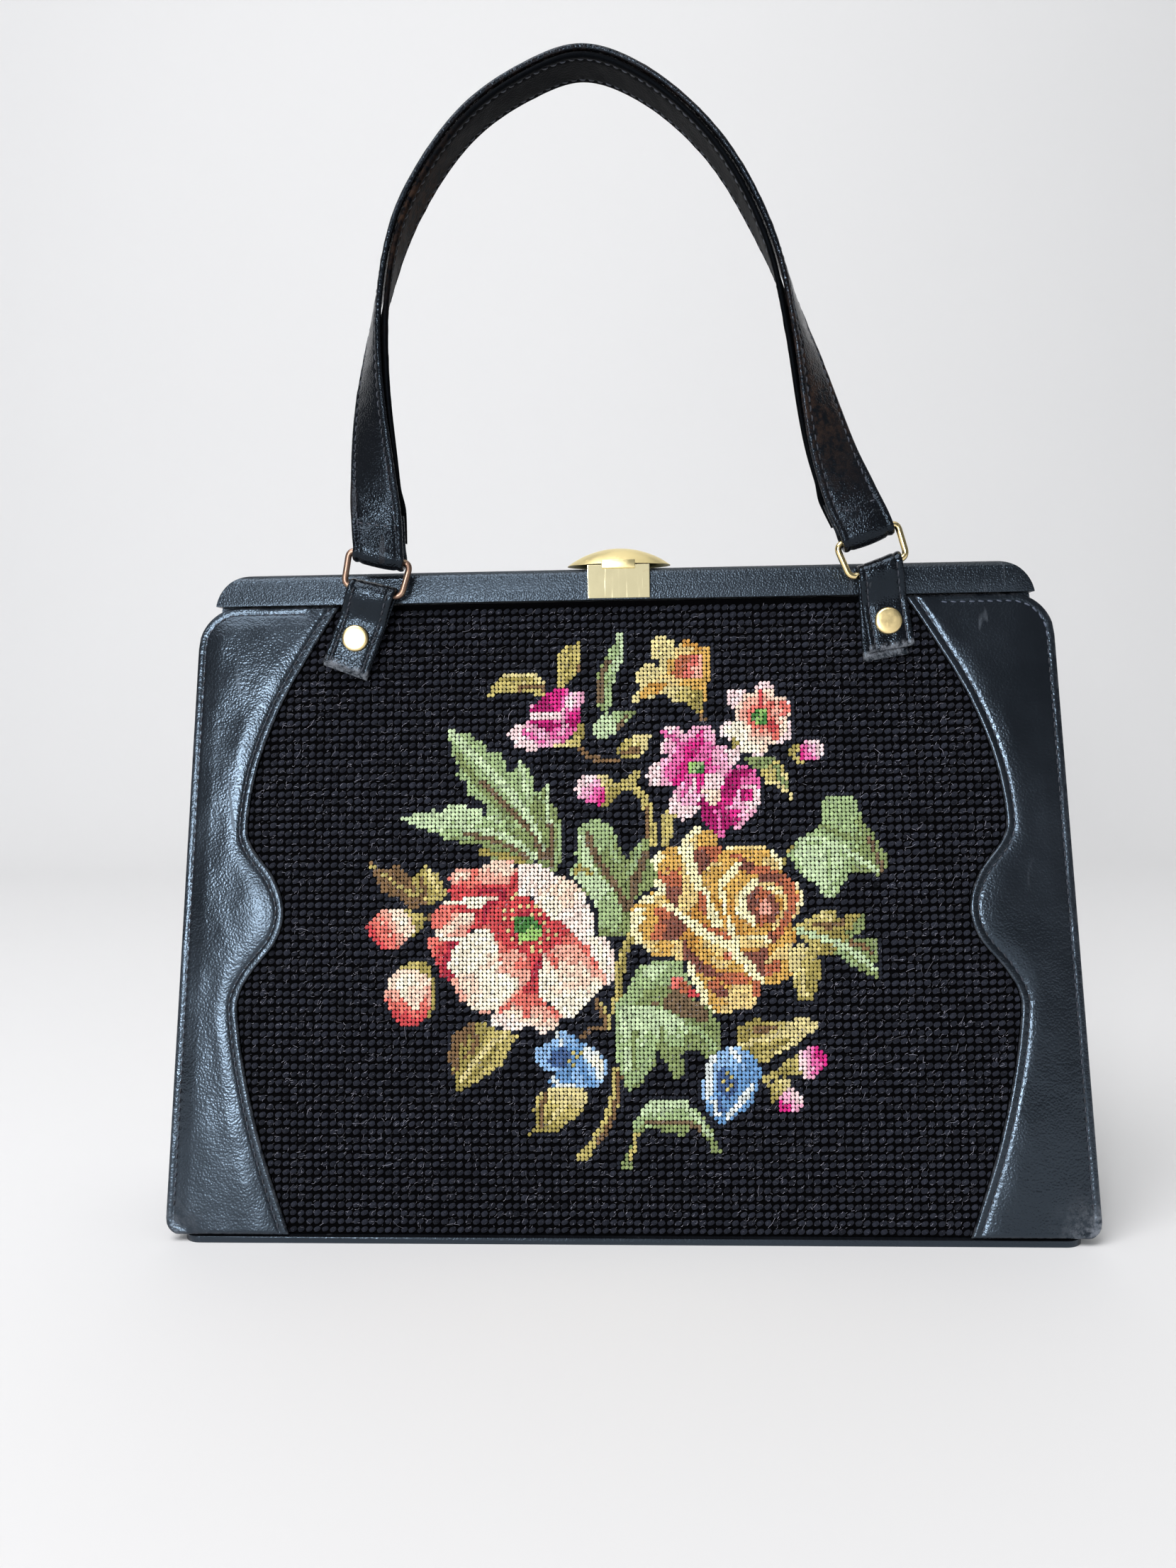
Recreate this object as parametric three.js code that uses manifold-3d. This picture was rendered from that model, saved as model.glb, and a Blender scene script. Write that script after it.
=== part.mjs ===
// Framed needlepoint handbag with one leather handle.
// Millimetres. +X to the right, -Y towards the viewer of the worked front, +Z up.
// The origin is on the ground, under the middle of the base.

import * as THREE from 'three';
import { mergeVertices } from 'three/addons/utils/BufferGeometryUtils.js';
import Module from 'manifold-3d';

const wasm = await Module();
wasm.setup();

// Driving sizes: fits
const seamGap = 0.3;            // air between two pieces that touch on the real bag
const pinClearance = 0.3;       // radial room of a pin in its bore
const cutMargin = 1;            // how far a cutting shape runs past what it cuts

// Driving sizes: body
const baseThickness = 2;
const bodyHeight = 199.6;       // wall height, from the base to the frame bar
const footHalfWidth = 146.4;
const sideTaper = 8.4;          // how much narrower each side is at the shoulder
const footRadius = 5;
const shoulderRadius = 13;
const footHalfDepth = 37.6;     // middle plane to the outer face, at the base
const mouthHalfDepth = 10.5;    // the same under the frame bar
const bellyRise = 4;            // how far the filled front and back swell
const leatherThickness = 1.6;
const canvasThickness = 2;
const canvasMargin = 6;         // canvas that runs on under the leather
const padRise = 1.2;            // padding along the scalloped edge
const padReach = 28;
const padSkew = 0.6;            // below 1, the padding is fullest near the scallop
const baseProud = 0.4;          // base edge in front of the walls
const baseSideInset = 5.5;      // base edge inside the wall's widest line
const baseCorner = 6;

// Driving sizes: folded sides
const gussetThickness = 1.2;
const gussetFlange = 5;
const gussetInset = 1.5;        // fold line inside the wall's edge
const gussetFold = 13;          // how deep the middle fold is at the top
const gussetNeckStart = 0.6;    // share of the height where the side draws in
const gussetNeckEnd = 0.82;     // share where it has passed inside the frame legs
const gussetTopDrop = 2.5;      // its top edge below the wall's

// Driving sizes: frame
const frameInset = 5.5;         // frame's end inside the straight shoulder
const barHeight = 10;
const barDepth = 11.7;          // one half of the frame, front to back
const barCorner = 12.5;
const barEdgeRound = 2.5;
const legWidth = 6;
const legCorner = 1.5;          // inside corner between leg and bar
const legDepth = 5.5;
const frameHingeDrop = 26;      // hinge axis below the bar
const earRadius = 5;
const framePinRadius = 1.5;
const framePinHead = 3.2;
const framePinHeadHeight = 0.9;

// Driving sizes: clasp
const plateWidth = 20.2;
const plateThickness = 0.7;
const plateFlange = 9;          // plate's reach over the top of the bar
const bracketMargin = 1;        // bracket's plate beside its ears
const capHalfWidth = 16.9;
const capHalfDepth = 9.2;
const capHeight = 5.6;
const capWall = 1;
const capLift = 0.5;            // air under the closed cap
const neckStart = 0.85;         // where the neck leaves the cap, share of its half depth
const tongueWidth = 10.7;
const tongueThickness = 0.8;
const tongueDrop = 1.7;         // tongue's reach below the cap's rim
const claspAxisSetback = 8;     // clasp axis behind the middle plane
const barrelRadius = 1.8;
const barrelHalfLength = 6;
const claspPinRadius = 0.8;
const claspPinHead = 1.5;
const claspPinHeadHeight = 0.6;
const claspEarThickness = 1.6;

// Driving sizes: tabs, rings and handle
const tabThickness = 1.5;
const tabLean = 3;              // degrees, the tabs lean with the front wall
const tabSettle = 5.3;          // above the rivet, where the front layer lies on the rear one
const tabSpread = 85.2;         // middle plane to a rivet
const rivetBelowBar = 11;
const loopRadius = 2;           // inside radius of every leather loop
const ringWire = 1.05;          // wire radius
const ringBars = 11.2;          // from bar to bar
const ringTopInner = 18.2;
const ringFootInner = 16.8;
const ringCorner = 2.5;
const rivetHead = 4.3;
const rivetHeadHeight = 1.3;
const rivetShank = 1.5;
const rivetWasher = 3;
const rivetWasherHeight = 0.8;
const rivetDrillReach = 12;     // to each side of the tab
const strapWidth = 16.8;
const strapThickness = 1.9;
const liningThickness = 1.8;
const handleRise = 151;         // from the left ring to the top of the arch
const layerGap = 0.5;           // between strap and lining, whose facets twist
const twistLength = 115;        // strap length over which a face turns a quarter
const twistHaste = 1.2;         // exponent of the turn, which starts a little late
const squareLength = 25;        // strap length over which its edges come square to its run
const frontSettle = 12;         // above the ring, where the strap's front layer lies flat
const returnSettle = 4.3;       // the same for the end that comes back behind the ring
const returnLength = 13;        // where that end stops
const liningStart = 5.5;        // lining's end above the ring
const liningLeave = 14;         // where the lining starts to sink onto the strap
const liningSettle = 21;        // where it lies flat

// Heights and places that follow from these sizes
const shoulderHalfWidth = footHalfWidth - sideTaper;
const frameHalfWidth = shoulderHalfWidth - frameInset;
const wallFoot = baseThickness + seamGap;
const wallTop = wallFoot + bodyHeight;
const barFoot = wallTop + seamGap;
const barTop = barFoot + barHeight;
const frameFront = -seamGap - barDepth;
const hingeHeight = barFoot - frameHingeDrop;
const plateTop = barTop + seamGap + plateThickness;
const capRim = plateTop + capLift;
const claspAxisHeight = plateTop + capLift + barrelRadius;
const loopMiddle = loopRadius + tabThickness / 2;
const strapLoop = loopRadius + strapThickness / 2;
const ringSeat = loopRadius - ringWire - seamGap;      // wire's centre above the loop's centre
const strapMiddle = layerGap / 2 + strapThickness / 2;
const liningMiddle = layerGap / 2 + liningThickness / 2;
const liningOverReturn = 1.5 * layerGap + strapThickness + liningThickness / 2;

// Each row is one tab: its rivet, its slant, its ring's slant and its ends.
// shift is the sideways creep of the rear layer, slants are in degrees from upright.
const tabs = {
  left: {
    side: -1, rise: -0.6, slant: 21, ringSlant: 14, width: 15.2,
    loop: 15.6, frontEnd: 10.8, rearEnd: 11.6, shift: 0,
  },
  right: {
    side: 1, rise: 1.9, slant: -9, ringSlant: -20, width: 14.4,
    loop: 16.5, frontEnd: 8.9, rearEnd: 11.3, shift: -2,
  },
};

// Scalloped edge of the side leather. height is a share of bodyHeight,
// reach is a share of footHalfWidth, measured out from the middle plane.
const scallop = [
  { height: 0.00, reach: 0.727 },
  { height: 0.13, reach: 0.787 },
  { height: 0.25, reach: 0.827 },
  { height: 0.34, reach: 0.845 },
  { height: 0.375, reach: 0.841 },
  { height: 0.41, reach: 0.814 },
  { height: 0.46, reach: 0.760 },
  { height: 0.51, reach: 0.744 },
  { height: 0.56, reach: 0.767 },
  { height: 0.61, reach: 0.817 },
  { height: 0.65, reach: 0.827 },
  { height: 0.74, reach: 0.806 },
  { height: 0.84, reach: 0.754 },
  { height: 0.94, reach: 0.677 },
  { height: 1.00, reach: 0.625 },
];

// Middle line of the handle between its rings. across is a share of tabSpread,
// rise is a share of handleRise above the left ring.
const handleArch = [
  { across: -0.911, rise: 0.155 },
  { across: -0.910, rise: 0.340 },
  { across: -0.863, rise: 0.538 },
  { across: -0.760, rise: 0.713 },
  { across: -0.545, rise: 0.881 },
  { across: -0.320, rise: 0.965 },
  { across: -0.106, rise: 1.000 },
  { across: 0.115, rise: 0.953 },
  { across: 0.374, rise: 0.820 },
  { across: 0.568, rise: 0.624 },
  { across: 0.681, rise: 0.428 },
  { across: 0.798, rise: 0.188 },
];

// Domed head of a rivet, from its middle out. out is a share of rivetHead,
// rise is a share of rivetHeadHeight.
const rivetDome = [
  { out: 0, rise: 1 },
  { out: 0.5, rise: 0.88 },
  { out: 0.85, rise: 0.55 },
  { out: 1, rise: 0 },
];

const finishes = {
  leather: { color: 0x14171c, roughness: 0.42, metalness: 0 },
  wool: { color: 0x0d0f16, roughness: 0.95, metalness: 0 },
  brass: { color: 0xd9b25c, roughness: 0.28, metalness: 1 },
  copper: { color: 0x9c6a4c, roughness: 0.35, metalness: 1 },
  steel: { color: 0x9a9a98, roughness: 0.35, metalness: 1 },
};

// Small helpers

function smooth(t) {
  const s = THREE.MathUtils.clamp(t, 0, 1);
  return s * s * (3 - 2 * s);
}

// Merged to one skin, with its faces turned outwards.
function closed(geometry) {
  const bare = geometry.index ? geometry.toNonIndexed() : geometry;
  bare.deleteAttribute('normal');
  bare.deleteAttribute('uv');
  const skin = mergeVertices(bare);
  const index = skin.index.array;
  const corner = (i) => new THREE.Vector3().fromBufferAttribute(skin.attributes.position, index[i]);
  let volume = 0;
  for (let i = 0; i < index.length; i += 3) {
    volume += corner(i).dot(corner(i + 1).cross(corner(i + 2)));
  }
  if (volume < 0) index.reverse();
  return skin;
}

// A box whose vertices are moved one by one. place gets a vertex's step along x,
// its step along y and its side in z, -1 or 1, and returns its place.
function bentBox(stepsX, stepsY, place) {
  const geometry = new THREE.BoxGeometry(1, 1, 1, stepsX, stepsY, 1);
  const position = geometry.attributes.position;
  for (let i = 0; i < position.count; i += 1) {
    const alongStep = Math.round((position.getX(i) + 0.5) * stepsX);
    const acrossStep = Math.round((position.getY(i) + 0.5) * stepsY);
    const point = place(alongStep, acrossStep, Math.sign(position.getZ(i)));
    position.setXYZ(i, point.x, point.y, point.z);
  }
  return closed(geometry);
}

function toManifold(geometry) {
  const shape = closed(geometry);
  return new wasm.Manifold(new wasm.Mesh({
    numProp: 3,
    vertProperties: new Float32Array(shape.attributes.position.array),
    triVerts: new Uint32Array(shape.index.array),
  }));
}

function fromManifold(solid) {
  const mesh = solid.getMesh();
  const geometry = new THREE.BufferGeometry();
  geometry.setAttribute('position', new THREE.BufferAttribute(mesh.vertProperties, 3));
  geometry.setIndex(new THREE.BufferAttribute(mesh.triVerts, 1));
  return geometry;
}

function joined(first, ...others) {
  return others.reduce((sum, next) => sum.add(toManifold(next)), toManifold(first));
}

// An outline drawn in X and Z, extruded from y = 0 back to y = -depth.
function extrudeTowardsViewer(shape, depth) {
  const geometry = new THREE.ExtrudeGeometry(shape, { depth, bevelEnabled: false, curveSegments: 6 });
  return geometry.rotateX(Math.PI / 2);
}

// An outline drawn in Y and Z, extruded along X from low to high.
function extrudeSideways(shape, low, high) {
  const geometry = new THREE.ExtrudeGeometry(shape, {
    depth: high - low, bevelEnabled: false, curveSegments: 6,
  });
  const turn = new THREE.Matrix4().makeBasis(
    new THREE.Vector3(0, 1, 0), new THREE.Vector3(0, 0, 1), new THREE.Vector3(1, 0, 0),
  );
  return geometry.applyMatrix4(turn).translate(low, 0, 0);
}

function rodAlongX(radius, low, high, y, z, sides = 20) {
  const rod = new THREE.CylinderGeometry(radius, radius, high - low, sides);
  return rod.rotateZ(Math.PI / 2).translate((low + high) / 2, y, z);
}

function block(lowX, highX, lowY, highY, lowZ, highZ) {
  const box = new THREE.BoxGeometry(highX - lowX, highY - lowY, highZ - lowZ);
  return box.translate((lowX + highX) / 2, (lowY + highY) / 2, (lowZ + highZ) / 2);
}

// Shape of the walls

function heightShare(z) {
  return (z - wallFoot) / bodyHeight;
}

function cornerInset(distance, radius) {
  if (distance >= radius) return 0;
  return radius - Math.sqrt(radius ** 2 - (radius - distance) ** 2);
}

function wallHalfWidth(z) {
  const straight = THREE.MathUtils.lerp(footHalfWidth, shoulderHalfWidth, heightShare(z));
  return straight - cornerInset(z - wallFoot, footRadius) - cornerInset(wallTop - z, shoulderRadius);
}

// Distance from the middle plane to the wall's outer face.
function wallHalfDepth(x, z) {
  const share = heightShare(z);
  const straight = THREE.MathUtils.lerp(footHalfDepth, mouthHalfDepth, share);
  const crown = 1 - Math.min(1, Math.abs(x) / wallHalfWidth(z)) ** 2;
  return straight + bellyRise * Math.sin(Math.PI * share) * crown;
}

const scallopCurve = new THREE.SplineCurve(scallop.map(
  (row) => new THREE.Vector2(wallFoot + row.height * bodyHeight, row.reach * footHalfWidth),
));
const scallopPoints = scallopCurve.getPoints(20 * scallop.length);

function scallopReach(z) {
  const next = scallopPoints.findIndex((point) => point.x >= z - 1e-6);
  if (next <= 0) return scallopPoints[0].y;
  const low = scallopPoints[next - 1];
  const high = scallopPoints[next];
  return THREE.MathUtils.lerp(low.y, high.y, (z - low.x) / (high.x - low.x));
}

// Rows of a wall: close together round its corners, even between them.
function wallRows(evenRows) {
  const rows = [];
  const footSteps = 3;
  const shoulderSteps = 6;
  for (let i = 0; i < footSteps; i += 1) {
    rows.push(wallFoot + footRadius * (1 - Math.cos((Math.PI / 2) * (i / footSteps))));
  }
  const low = wallFoot + footRadius;
  const high = wallTop - shoulderRadius;
  for (let i = 0; i < evenRows; i += 1) {
    rows.push(THREE.MathUtils.lerp(low, high, i / evenRows));
  }
  for (let i = 0; i <= shoulderSteps; i += 1) {
    rows.push(high + shoulderRadius * Math.sin((Math.PI / 2) * (i / shoulderSteps)));
  }
  return rows;
}

// Walls

function needlepointPanel() {
  const columns = 10;
  const rows = 28;
  const canvas = bentBox(columns, rows, (column, row, side) => {
    const z = wallFoot + bodyHeight * (row / rows);
    const x = (2 * (column / columns) - 1) * (scallopReach(z) + canvasMargin);
    const behind = leatherThickness + seamGap + (side > 0 ? 0 : canvasThickness);
    return new THREE.Vector3(x, -(wallHalfDepth(x, z) - behind), z);
  });
  return fromManifold(drilledForRivets(toManifold(canvas)));
}

function padding(x, z) {
  const share = THREE.MathUtils.clamp((x - scallopReach(z)) / padReach, 0, 1);
  return padRise * Math.sin(Math.PI * share ** padSkew);
}

function leatherSide(side) {
  const columns = 4;
  const rows = wallRows(32);
  const crowding = 1.5;          // columns crowd towards the scalloped edge
  return bentBox(columns, rows.length - 1, (column, row, face) => {
    const z = rows[row];
    const share = (column / columns) ** crowding;
    const x = THREE.MathUtils.lerp(scallopReach(z), wallHalfWidth(z), share);
    const depth = wallHalfDepth(x, z) + (face > 0 ? padding(x, z) : -leatherThickness);
    return new THREE.Vector3(side * x, -depth, z);
  });
}

function backPanel() {
  const columns = 10;
  const rows = wallRows(8);
  return bentBox(columns, rows.length - 1, (column, row, face) => {
    const z = rows[row];
    const x = (2 * (column / columns) - 1) * wallHalfWidth(z);
    const depth = wallHalfDepth(x, z) - (face > 0 ? 0 : leatherThickness);
    return new THREE.Vector3(x, depth, z);
  });
}

function basePanel() {
  const halfWidth = footHalfWidth - baseSideInset;
  const halfDepth = footHalfDepth + baseProud;
  const outline = new THREE.Shape();
  outline.moveTo(halfWidth - baseCorner, -halfDepth);
  outline.absarc(halfWidth - baseCorner, baseCorner - halfDepth, baseCorner, -Math.PI / 2, 0);
  outline.absarc(halfWidth - baseCorner, halfDepth - baseCorner, baseCorner, 0, Math.PI / 2);
  outline.absarc(baseCorner - halfWidth, halfDepth - baseCorner, baseCorner, Math.PI / 2, Math.PI);
  outline.absarc(baseCorner - halfWidth, baseCorner - halfDepth, baseCorner, Math.PI, 1.5 * Math.PI);
  outline.closePath();
  return closed(new THREE.ExtrudeGeometry(outline, {
    depth: baseThickness, bevelEnabled: false, curveSegments: 6,
  }));
}

// Folded sides

function gussetReach(z) {
  const share = (heightShare(z) - gussetNeckStart) / (gussetNeckEnd - gussetNeckStart);
  const insideLegs = frameHalfWidth - legWidth - 2 * seamGap - gussetThickness / 2;
  return THREE.MathUtils.lerp(wallHalfWidth(z) - gussetInset, insideLegs, smooth(share));
}

// Middle line of the folded side at one height, from the front flange to the rear one.
function gussetSection(z) {
  const reach = gussetReach(z);
  const behindFace = leatherThickness + seamGap + gussetThickness / 2;
  const fold = gussetFold * heightShare(z);
  const flangeDepth = (x) => wallHalfDepth(x, z) - behindFace;
  const depth = flangeDepth(reach);
  const foldSteps = 8;
  const points = [new THREE.Vector2(reach - gussetFlange, -flangeDepth(reach - gussetFlange))];
  for (let i = 0; i <= foldSteps; i += 1) {
    const y = THREE.MathUtils.lerp(-depth, depth, i / foldSteps);
    points.push(new THREE.Vector2(reach - (fold * (1 + Math.cos((Math.PI * y) / depth))) / 2, y));
  }
  points.push(new THREE.Vector2(reach - gussetFlange, flangeDepth(reach - gussetFlange)));
  return points;
}

// Moves each point of a line sideways by distance, mitred at its bends.
function offsetLine(points, distance) {
  const normals = points.slice(1).map((point, i) => {
    const step = point.clone().sub(points[i]).normalize();
    return new THREE.Vector2(step.y, -step.x);
  });
  return points.map((point, i) => {
    const before = normals[Math.max(0, i - 1)];
    const after = normals[Math.min(normals.length - 1, i)];
    const mitre = before.clone().add(after).normalize();
    return point.clone().addScaledVector(mitre, distance / mitre.dot(before));
  });
}

function gusset(side) {
  const top = wallTop - gussetTopDrop;
  const heights = wallRows(8).filter((row) => row < top - seamGap);
  const sections = [...heights, top].map((z) => {
    const line = gussetSection(z);
    return {
      z,
      outer: offsetLine(line, gussetThickness / 2),
      inner: offsetLine(line, -gussetThickness / 2),
    };
  });
  const columns = sections[0].outer.length - 1;
  return bentBox(columns, sections.length - 1, (column, row, face) => {
    const section = sections[row];
    const point = (face > 0 ? section.outer : section.inner)[column];
    return new THREE.Vector3(side * point.x, point.y, section.z);
  });
}

// Frame

function frameOutline() {
  const outer = new THREE.Shape();
  const inner = frameHalfWidth - legWidth;
  outer.moveTo(-frameHalfWidth, hingeHeight);
  outer.lineTo(-inner, hingeHeight);
  outer.lineTo(-inner, barFoot - legCorner);
  outer.absarc(-inner + legCorner, barFoot - legCorner, legCorner, Math.PI, Math.PI / 2, true);
  outer.absarc(inner - legCorner, barFoot - legCorner, legCorner, Math.PI / 2, 0, true);
  outer.lineTo(inner, hingeHeight);
  outer.lineTo(frameHalfWidth, hingeHeight);
  outer.lineTo(frameHalfWidth, barTop - barCorner);
  outer.absarc(frameHalfWidth - barCorner, barTop - barCorner, barCorner, 0, Math.PI / 2);
  outer.absarc(barCorner - frameHalfWidth, barTop - barCorner, barCorner, Math.PI / 2, Math.PI);
  outer.closePath();
  return outer;
}

// Side view of one half of the frame: a deep bar on a shallow leg, both in front.
function frameProfile() {
  const profile = new THREE.Shape();
  const legFront = -seamGap - legDepth;
  profile.moveTo(-seamGap, hingeHeight);
  profile.lineTo(-seamGap, barTop);
  profile.lineTo(frameFront + barEdgeRound, barTop);
  profile.absarc(frameFront + barEdgeRound, barTop - barEdgeRound, barEdgeRound, Math.PI / 2, Math.PI);
  profile.lineTo(frameFront, barFoot);
  profile.lineTo(legFront, barFoot);
  profile.lineTo(legFront, hingeHeight);
  profile.closePath();
  return profile;
}

// Both halves carry an ear at each leg's foot. The front half's ears are the inner
// ones of each pair, the rear half's the outer ones, and each leg is cut clear of
// the other half's ear.
function frameHalf(isFront) {
  const inside = frameHalfWidth - legWidth;
  const split = frameHalfWidth - legWidth / 2;
  const ownEar = isFront ? [inside, split - seamGap / 2] : [split + seamGap / 2, frameHalfWidth];
  const otherEar = isFront
    ? [split - seamGap / 2, frameHalfWidth + cutMargin]
    : [inside - cutMargin, split + seamGap / 2];
  const cutEnd = frameHalfWidth + cutMargin;
  let half = toManifold(extrudeTowardsViewer(frameOutline(), seamGap + barDepth));
  half = half.intersect(toManifold(extrudeSideways(frameProfile(), -cutEnd, cutEnd)));
  if (!isFront) half = half.mirror([0, 1, 0]);
  for (const side of [-1, 1]) {
    const span = (range) => range.map((x) => side * x).sort((a, b) => a - b);
    half = half.subtract(toManifold(rodAlongX(earRadius + seamGap, ...span(otherEar), 0, hingeHeight)));
    half = half.add(toManifold(rodAlongX(earRadius, ...span(ownEar), 0, hingeHeight)));
    const bore = span([inside - cutMargin, cutEnd]);
    half = half.subtract(toManifold(rodAlongX(framePinRadius + pinClearance, ...bore, 0, hingeHeight, 12)));
  }
  return fromManifold(half);
}

// A pin along X with a head on each end, turned about its own axis.
function headedPin(radius, headRadius, headHeight, low, high, sides) {
  const profile = [
    new THREE.Vector2(0, low - headHeight),
    new THREE.Vector2(headRadius, low - headHeight),
    new THREE.Vector2(headRadius, low),
    new THREE.Vector2(radius, low),
    new THREE.Vector2(radius, high),
    new THREE.Vector2(headRadius, high),
    new THREE.Vector2(headRadius, high + headHeight),
    new THREE.Vector2(0, high + headHeight),
  ];
  return closed(new THREE.LatheGeometry(profile, sides).rotateZ(-Math.PI / 2));
}

function framePin(side) {
  const low = side * frameHalfWidth;
  const high = side * (frameHalfWidth - legWidth);
  const [from, to] = [Math.min(low, high) - seamGap, Math.max(low, high) + seamGap];
  const pin = headedPin(framePinRadius, framePinHead, framePinHeadHeight, from, to, 12);
  return pin.translate(0, 0, hingeHeight);
}

// Clasp

function claspPlate() {
  const back = frameFront - seamGap;
  const front = back - plateThickness;
  const profile = new THREE.Shape();
  profile.moveTo(front, barFoot + seamGap);
  profile.lineTo(back, barFoot + seamGap);
  profile.lineTo(back, plateTop - plateThickness);
  profile.lineTo(front + plateFlange, plateTop - plateThickness);
  profile.lineTo(front + plateFlange, plateTop);
  profile.lineTo(front, plateTop);
  profile.closePath();
  return closed(extrudeSideways(profile, -plateWidth / 2, plateWidth / 2));
}

function claspBore(reach) {
  return toManifold(rodAlongX(
    claspPinRadius + pinClearance, -reach, reach, claspAxisSetback, claspAxisHeight, 12,
  ));
}

// Rear half of the clasp: a plate on the bar with two ears that hold the pin.
function claspBracket() {
  const earInside = barrelHalfLength + seamGap;
  const earOutside = earInside + claspEarThickness;
  const plateSide = earOutside + bracketMargin;
  const plateFront = claspAxisSetback - 2 * barrelRadius - seamGap;
  const plateFoot = plateTop - plateThickness;
  let bracket = toManifold(block(-plateSide, plateSide, plateFront, barDepth, plateFoot, plateTop));
  for (const side of [-1, 1]) {
    const [low, high] = [side * earInside, side * earOutside].sort((a, b) => a - b);
    bracket = bracket.add(joined(
      rodAlongX(barrelRadius, low, high, claspAxisSetback, claspAxisHeight),
      block(low, high, claspAxisSetback - barrelRadius, claspAxisSetback + barrelRadius,
        plateTop - plateThickness / 2, claspAxisHeight),
    ));
  }
  return fromManifold(bracket.subtract(claspBore(plateSide)));
}

function claspPin() {
  const reach = barrelHalfLength + 2 * seamGap + claspEarThickness;
  const pin = headedPin(claspPinRadius, claspPinHead, claspPinHeadHeight, -reach, reach, 12);
  return pin.translate(0, claspAxisSetback, claspAxisHeight);
}

// Domed cap, a hollow slice of a ball pressed to an oval.
function claspCap() {
  const ball = (capHalfWidth ** 2 + capHeight ** 2) / (2 * capHeight);
  const arc = (radius, steps) => {
    const centre = capHeight - ball;
    const widest = Math.acos(-centre / radius);
    return Array.from({ length: steps + 1 }, (_, i) => {
      const angle = widest * (i / steps);
      return new THREE.Vector2(radius * Math.sin(angle), Math.max(0, centre + radius * Math.cos(angle)));
    });
  };
  const downTheOutside = arc(ball, 6);
  const upTheInside = arc(ball - capWall, 4).reverse();
  const dome = new THREE.LatheGeometry([...downTheOutside, ...upTheInside], 28);
  dome.rotateX(Math.PI / 2);
  return dome.scale(1, capHalfDepth / capHalfWidth, 1);
}

function claspLever() {
  const tongueBack = frameFront - seamGap - plateThickness - seamGap;
  const tongueFront = tongueBack - tongueThickness;
  const capMiddle = (tongueFront + tongueBack) / 2 + capHalfDepth;
  const neckFront = capMiddle + capHalfDepth * neckStart;
  const lever = joined(
    claspCap().translate(0, capMiddle, capRim),
    block(-tongueWidth / 2, tongueWidth / 2, tongueFront, tongueBack, capRim - tongueDrop, capRim + capWall),
    block(-barrelHalfLength, barrelHalfLength, neckFront, claspAxisSetback,
      claspAxisHeight - capWall / 2, claspAxisHeight + capWall / 2),
    rodAlongX(barrelRadius, -barrelHalfLength, barrelHalfLength, claspAxisSetback, claspAxisHeight),
  );
  return fromManifold(lever.subtract(claspBore(barrelHalfLength + cutMargin)));
}

// Tabs

// The tab's own axes: x across it, y away from the viewer, z up along it, with
// the origin at the rivet on the tab's rear face.
function tabFrame(tab) {
  const lean = THREE.MathUtils.degToRad(tabLean);
  const slant = THREE.MathUtils.degToRad(tab.slant);
  const height = barFoot - rivetBelowBar + tab.rise;
  const rear = frameFront - seamGap - (barTop - height) * Math.tan(lean);
  return new THREE.Matrix4().makeRotationFromEuler(new THREE.Euler(-lean, slant, 0, 'YXZ'))
    .setPosition(tab.side * tabSpread, rear, height);
}

function inTab(tab, across, forward, up) {
  return new THREE.Vector3(across, -forward, up).applyMatrix4(tabFrame(tab));
}

function tabLoopCentre(tab) {
  return inTab(tab, 0, loopRadius + tabThickness, tab.loop);
}

function slantedAcross(slant) {
  const angle = THREE.MathUtils.degToRad(slant);
  return new THREE.Vector3(Math.cos(angle), 0, -Math.sin(angle));
}

// A strip of leather: a flat box bent along its stations. Each station has the
// strip's middle point and its half width as a vector.
function strip(stations, thickness) {
  const acrossSteps = 2;
  const normals = stations.map((station, i) => {
    const before = stations[Math.max(0, i - 1)].point;
    const after = stations[Math.min(stations.length - 1, i + 1)].point;
    return after.clone().sub(before).cross(station.across).normalize();
  });
  return bentBox(stations.length - 1, acrossSteps, (i, j, face) => (
    stations[i].point.clone()
      .addScaledVector(stations[i].across, 2 * (j / acrossSteps) - 1)
      .addScaledVector(normals[i], (face * thickness) / 2)
  ));
}

function tabStations(tab) {
  const stations = [];
  const rearMiddle = tabThickness / 2;
  const frontMiddle = tabThickness + seamGap + tabThickness / 2;
  const add = (forward, up, shift) => {
    const share = smooth(up / tab.loop);
    const across = slantedAcross(THREE.MathUtils.lerp(tab.slant, tab.ringSlant, share));
    stations.push({
      point: inTab(tab, shift, forward, up),
      across: across.multiplyScalar(tab.width / 2),
    });
  };
  const creep = (up) => tab.shift * (1 - smooth((up + tab.rearEnd) / (tab.loop + tab.rearEnd)));
  for (let i = 0; i <= 5; i += 1) {
    const up = THREE.MathUtils.lerp(-tab.rearEnd, tab.loop, i / 6);
    add(rearMiddle, up, creep(up));
  }
  for (let i = 0; i <= 8; i += 1) {
    const angle = Math.PI * (1 - i / 8);
    add(rearMiddle + loopMiddle + loopMiddle * Math.cos(angle), tab.loop + loopMiddle * Math.sin(angle), 0);
  }
  const loopFront = rearMiddle + 2 * loopMiddle;
  for (let i = 1; i <= 5; i += 1) {
    const up = THREE.MathUtils.lerp(tab.loop, tabSettle, i / 5);
    add(THREE.MathUtils.lerp(loopFront, frontMiddle, smooth(i / 5)), up, 0);
  }
  add(frontMiddle, 0, 0);
  add(frontMiddle, -tab.frontEnd, 0);
  return stations;
}

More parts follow.
